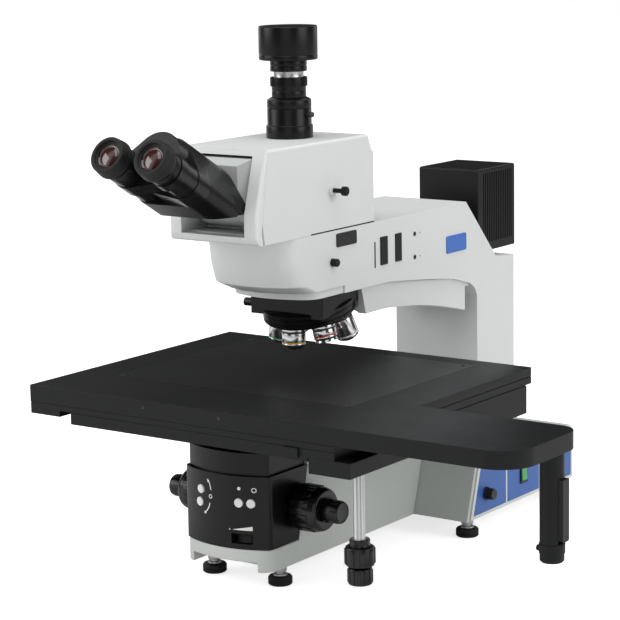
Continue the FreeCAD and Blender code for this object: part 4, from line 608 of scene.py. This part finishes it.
for step in range(wedge["steps"]):
    spread = (wedge["right"] - wedge["left"]) / wedge["steps"]
    near, far = wedge["left"] + spread * step, wedge["left"] + spread * (step + 1)
    heights = [wedge["low"] + wedge["thin"] + wedge["rise"] * part / wedge["steps"]
               for part in (step, step + 1)]
    printedMark("mark_wedge_%d" % step, [(near, wedge["low"]), (far, wedge["low"]), (far, heights[1]),
                                         (near, heights[0])], 1.0, False, True)
print("marks printed")

# cover, blank badge, screws, and black strips painted as the shade in the slot and the shadow under the head,
# on the arm's right side
armSide = 67.4
plateCorner = {"points": 7, "turn": 15}


def sidePlate(name, finish, low, high, yRange, zRange, corner, edge=0.3):
    shape = bmesh.new()
    outline = []
    for y, z, start in ((yRange[1], zRange[1], 0), (yRange[0], zRange[1], 90), (yRange[0], zRange[0], 180),
                        (yRange[1], zRange[0], 270)):
        inward = (corner if y == yRange[0] else -corner, corner if z == zRange[0] else -corner)
        for step in range(plateCorner["points"]):
            angle = math.radians(start + step * plateCorner["turn"])
            outline.append((y + inward[0] + corner * math.cos(angle),
                            z + inward[1] + corner * math.sin(angle)))
    rings = []
    middleY, middleZ = (yRange[0] + yRange[1]) / 2, (zRange[0] + zRange[1]) / 2
    for x, shrink in ((low, 0.0), (high - edge, 0.0), (high, edge)):
        rings.append([shape.verts.new((x * mm, (y - shrink * math.copysign(1, y - middleY)) * mm,
                                       (z - shrink * math.copysign(1, z - middleZ)) * mm))
                      for y, z in outline])
    count = len(outline)
    for lower, upper in zip(rings, rings[1:]):
        for index in range(count):
            after = (index + 1) % count
            shape.faces.new((lower[index], lower[after], upper[after], upper[index]))
    shape.faces.new(rings[-1])
    shape.faces.new(list(reversed(rings[0])))
    item = placed(name, meshFrom(shape, name))
    give(item, finish)
    smoothSurface(item, softened["plates"])
    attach(item, "stand")
    return item


windowCover = sidePlate("window_cover", "softBlack", armSide, armSide + 1.4, (2.0, 46.5),
                        (412.7, 430.1), 2.5)
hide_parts("arm_fittings")
sidePlate("blank_badge", "badgeBlue", armSide, armSide + 1.2, (261.0, 312.0), (369.3, 393.0),
          3.0)
# painted shade: a thin black strip standing in for the shaded opening of the slot
sidePlate("arm_slot_painted_shade", "softBlack", armSide, armSide + 0.12, (87.5, 90.5), (374.0, 408.5),
          1.4, 0.05)
# painted shadow: a thin black strip standing in for the shaded gap under the head
sidePlate("head_gap_painted_shadow", "softBlack", armSide, armSide + 0.1, (-52.0, 88.0), (434.6, 436.4),
          0.8, 0.05)
for name, y, z, reach in (("low_screw", 183.0, 376.0, 3.1), ("high_screw", 183.0, 407.0, 3.1),
                          ("low_dot", 195.7, 376.0, 1.0), ("high_dot", 195.7, 407.0, 1.0)):
    turnedPiece(name, "stand", None, facingX(armSide, y, z),
                [[(0, 0), (reach, 0), (reach, 0.5), (reach * 0.85, 0.8), (reach * 0.5, 0.8),
                  (reach * 0.45, 0.3), (0, 0.3)]],
                ["softBlack" if reach > 2 else "steel"], radius=0.15, steps=32)
print("arm fittings made")

# inner box of the arm, whose lower edge curves down toward the column
innerBox = {"half": 61.5, "rounding": 2.0, "corner": 40.0, "outline": [
    (112.0, 317.2), (131.5, 315.2), (155.2, 312.9), (185.8, 309.6), (216.3, 305.2), (241.5, 300.8),
    (266.7, 295.4), (292.5, 289.4), (317.5, 282.9), (318.6, 284.0), (318.6, 338.0), (200.0, 352.0),
    (112.0, 353.0)]}
shape = bmesh.new()
sides = [[shape.verts.new((x * mm, y * mm, z * mm)) for y, z in innerBox["outline"]]
         for x in (-innerBox["half"], innerBox["half"])]
shape.faces.new(list(reversed(sides[0])))
shape.faces.new(sides[1])
count = len(innerBox["outline"])
for index in range(count):
    after = (index + 1) % count
    shape.faces.new((sides[0][index], sides[0][after], sides[1][after], sides[1][index]))
innerItem = placed("arm_inner_box", meshFrom(shape, "arm_inner_box"))
rounding = innerItem.modifiers.new("rounding", "BEVEL")
rounding.width = innerBox["rounding"] * mm
rounding.segments = 3
rounding.limit_method = "ANGLE"
rounding.angle_limit = math.radians(innerBox["corner"])
settled(innerItem)
smoothSurface(innerItem, softened["sharp"])
flattened(innerItem)
give(innerItem, "whitePaint")
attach(innerItem, "stand")
print("inner box made")

# levelling feet: rubber pad, stud and lock nut
footPlaces = [(-52, -110), (52, -110), (-136, 200), (136, 200), (-136, 440), (136, 440)]
for index, (x, y) in enumerate(footPlaces):
    feetNode = ["levelling_feet"] if index == 0 else None
    turnedPiece("foot_%d" % (index + 1), "stand", feetNode, standing(x, y),
                [[(0, 0), (13.5, 0), (15.4, 1.5), (15.4, 4), (14.8, 4.4), (14.8, 5), (15.4, 5.4), (15.4, 9.5),
                  (14, 11.5), (9, 12.4), (9, 14), (4.6, 14.2), (4.6, 17), (8.4, 17.2), (8.4, 22.6), (4.6, 23),
                  (4.6, 24.9), (0, 24.9)]],
                ["rubber", "steel"], bands=[(12.5, 25, 0, 1)], radius=0.5, steps=64)

# small screws: stage edge, stage insert, photo tube clamp
towardFront = Matrix.Rotation(math.radians(90), 4, "X")
stageFront, cornerInset = -209.8, 7
for index, (x, z) in enumerate(((-79.4, 230.6), (38.6, 230.7))):
    turnedPiece("edge_screw_%d" % (index + 1), "stage_x", None,
                standing(x, stageFront, z) @ towardFront,
                [[(0, -0.6), (2.0, -0.6), (2.0, 0.15), (1.1, 0.15), (1.0, -0.4), (0, -0.4)]], ["darkGrey"],
                radius=0.1, steps=24)
lowCorner, highCorner = (Vector(corner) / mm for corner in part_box("stage_insert"))
leftScrew, frontScrew = lowCorner.x + cornerInset, lowCorner.y + cornerInset
rightScrew, backScrew = highCorner.x - cornerInset, highCorner.y - cornerInset
for index, (x, y) in enumerate(((leftScrew, frontScrew), (rightScrew, frontScrew),
                                (leftScrew, backScrew), (rightScrew, backScrew))):
    turnedPiece("insert_screw_%d" % (index + 1), "stage_x", None,
                standing(x, y, highCorner.z),
                [[(0, -0.3), (2.6, -0.3), (2.6, 0.12), (1.5, 0.12), (1.4, -0.2), (0, -0.2)]], ["darkGrey"],
                radius=0.1, steps=24)
turnedPiece("tube_clamp", "stand", None, facingX(26.5, 0, 579),
            [[(0, 0), (2.2, 0), (2.2, 4), (3.4, 4.2), (3.4, 9.6), (2.8, 10.2), (0, 10.2)]], ["darkGrey"],
            radius=0.4, steps=32)
print("feet and screws made")

# drive knobs under the stage
drivePlace = standing(206.0, -157.0)
turnedPiece("upper_drive_knob", "y_drive", ["y_drive_knob"], drivePlace,
            [[(4.05, 61), (16.4, 61), (17.4, 62), (17.4, 84), (16, 85), (12, 85), (12, 93.4), (11.4, 94),
              (7, 94), (7, 187.7), (4.05, 187.7)]], ["softBlack", "aluminium"], bands=[(94.0, 188, 6.5, 1)],
            radius=0.5)
ribRing("upper_drive_ribs", "y_drive", drivePlace, "softBlack", 8, 17.0, (7.4, 3.4),
        63, 83, 1.2)
ribRing("collar_ribs", "y_drive", drivePlace, "softBlack", 8, 11.2, (3.6, 2.6), 86, 93, 0.6)
turnedPiece("lower_drive_knob", "x_drive", ["x_drive_knob"], drivePlace,
            [[(0, 38), (13.6, 38), (14.6, 39), (14.6, 57.4), (13.6, 58.5), (4, 58.5), (4, 194.7),
              (0, 194.7)]], ["softBlack"], radius=0.5)
ribRing("lower_drive_ribs", "x_drive", drivePlace, "softBlack", 12, 14.5, (3.8, 2.0),
        40, 56.5, 0.7)
print("turned pieces made")


# camera, lamps and floor

view = {"azimuth": 35.735, "pitch": 10.174, "roll": -1.0638, "focal": 2229.635, "picture": 620.0,
        "sensor": 36.0, "farthest": 50.0, "place": (1660.2, -2270.76, 831.56)}
azimuth, pitch, roll = (math.radians(view[key]) for key in ("azimuth", "pitch", "roll"))
level = math.cos(pitch)
forward = Vector((-math.sin(azimuth) * level, math.cos(azimuth) * level, -math.sin(pitch)))
across = Vector((math.cos(azimuth), math.sin(azimuth), 0))
upward = across.cross(forward)
acrossRolled = math.cos(roll) * across + math.sin(roll) * upward
upRolled = -math.sin(roll) * across + math.cos(roll) * upward
cameraData = bpy.data.cameras.new("photo_camera")
cameraData.sensor_width = view["sensor"]
cameraData.lens = view["focal"] / view["picture"] * view["sensor"]
cameraData.clip_end = view["farthest"]
camera = placed("photo_camera", cameraData)
camera.matrix_world = Matrix((
    (acrossRolled.x, upRolled.x, -forward.x, view["place"][0] * mm),
    (acrossRolled.y, upRolled.y, -forward.y, view["place"][1] * mm),
    (acrossRolled.z, upRolled.z, -forward.z, view["place"][2] * mm),
    (0, 0, 0, 1)))
bpy.context.scene.camera = camera


def softLamp(name, place, target, size, power):
    data = bpy.data.lights.new(name, "AREA")
    data.shape = "RECTANGLE"
    data.size, data.size_y = size
    data.energy = power
    lamp = placed(name, data)
    lamp.location = place
    lamp.rotation_euler = (Vector(target) - Vector(place)).to_track_quat("-Z", "Y").to_euler()


softLamp("lamp_above", (0.3, -0.6, 2.6), (0, 0, 0.3), (2.4, 2.0), 42)
softLamp("lamp_left", (-2.2, -1.6, 1.4), (0, 0, 0.35), (1.6, 1.6), 26)
softLamp("lamp_right", (2.6, 0.2, 1.3), (0, 0.1, 0.3), (1.6, 1.6), 22)
world = bpy.data.worlds.new("studio")
world.use_nodes = True
bpy.context.scene.world = world
worldTree = world.node_tree
background = worldTree.nodes["Background"]
background.inputs[0].default_value = (1.0, 1.0, 1.0, 1)
rays = worldTree.nodes.new("ShaderNodeLightPath")
passed = Signal(worldTree, rays.outputs["Is Transmission Ray"])
seen = Signal(worldTree, rays.outputs["Is Camera Ray"]).most(passed)
direction = worldTree.nodes.new("ShaderNodeTexCoord")
parts = worldTree.nodes.new("ShaderNodeSeparateXYZ")
worldTree.links.new(direction.outputs["Generated"], parts.inputs[0])
towards = Signal(worldTree, parts.outputs["Y"]).combine("ARCTAN2", Signal(worldTree, parts.outputs["X"]))
studio = {"ambient": 0.55, "white": 0.45, "cardCount": 5.0, "turned": 0.6, "contrast": 3.0, "middle": 0.3,
          "cardBright": 0.9, "cardDark": 0.5}
waves = (towards * studio["cardCount"] + studio["turned"]).sine()
cards = (waves * studio["contrast"] + studio["middle"]).clamped()
mirrored = Signal(worldTree, rays.outputs["Is Glossy Ray"])
softer = cards * studio["cardBright"] - studio["cardDark"]
strength = seen * studio["white"] + mirrored * softer + studio["ambient"]
worldTree.links.new(strength.socket, background.inputs[1])

floorLook = {"reach": 8, "glow": 0.7, "grain": 4.0, "uneven": 0.1, "roughness": 0.85}
floorCorners = [(x * floorLook["reach"], y * floorLook["reach"], 0)
                for x, y in ((-1, -1), (1, -1), (1, 1), (-1, 1))]
floorMesh = bpy.data.meshes.new("floor")
floorMesh.from_pydata(floorCorners, [], [(0, 1, 2, 3)])
floor = placed("floor", floorMesh)
floorFinish = Finish("pale_floor")
grain = floorFinish.noise(floorLook["grain"])
floorFinish.feed("Base Color", floorFinish.mixed(grain, (0.9, 0.9, 0.9), (0.88, 0.88, 0.88)))
floorFinish.feed("Roughness", grain * floorLook["uneven"] + floorLook["roughness"])
floorFinish.shader.inputs["Specular IOR Level"].default_value = 0.0
floorRays = floorFinish.tree.nodes.new("ShaderNodeLightPath")
floorFinish.shader.inputs["Emission Color"].default_value = (1.0, 1.0, 1.0, 1.0)
floorSeen = Signal(floorFinish.tree, floorRays.outputs["Is Camera Ray"])
floorFinish.feed("Emission Strength", floorSeen * floorLook["glow"])
floorMesh.materials.append(floorFinish.material)
bpy.context.scene.view_settings.view_transform = "Standard"
print("camera, lamps and floor placed")
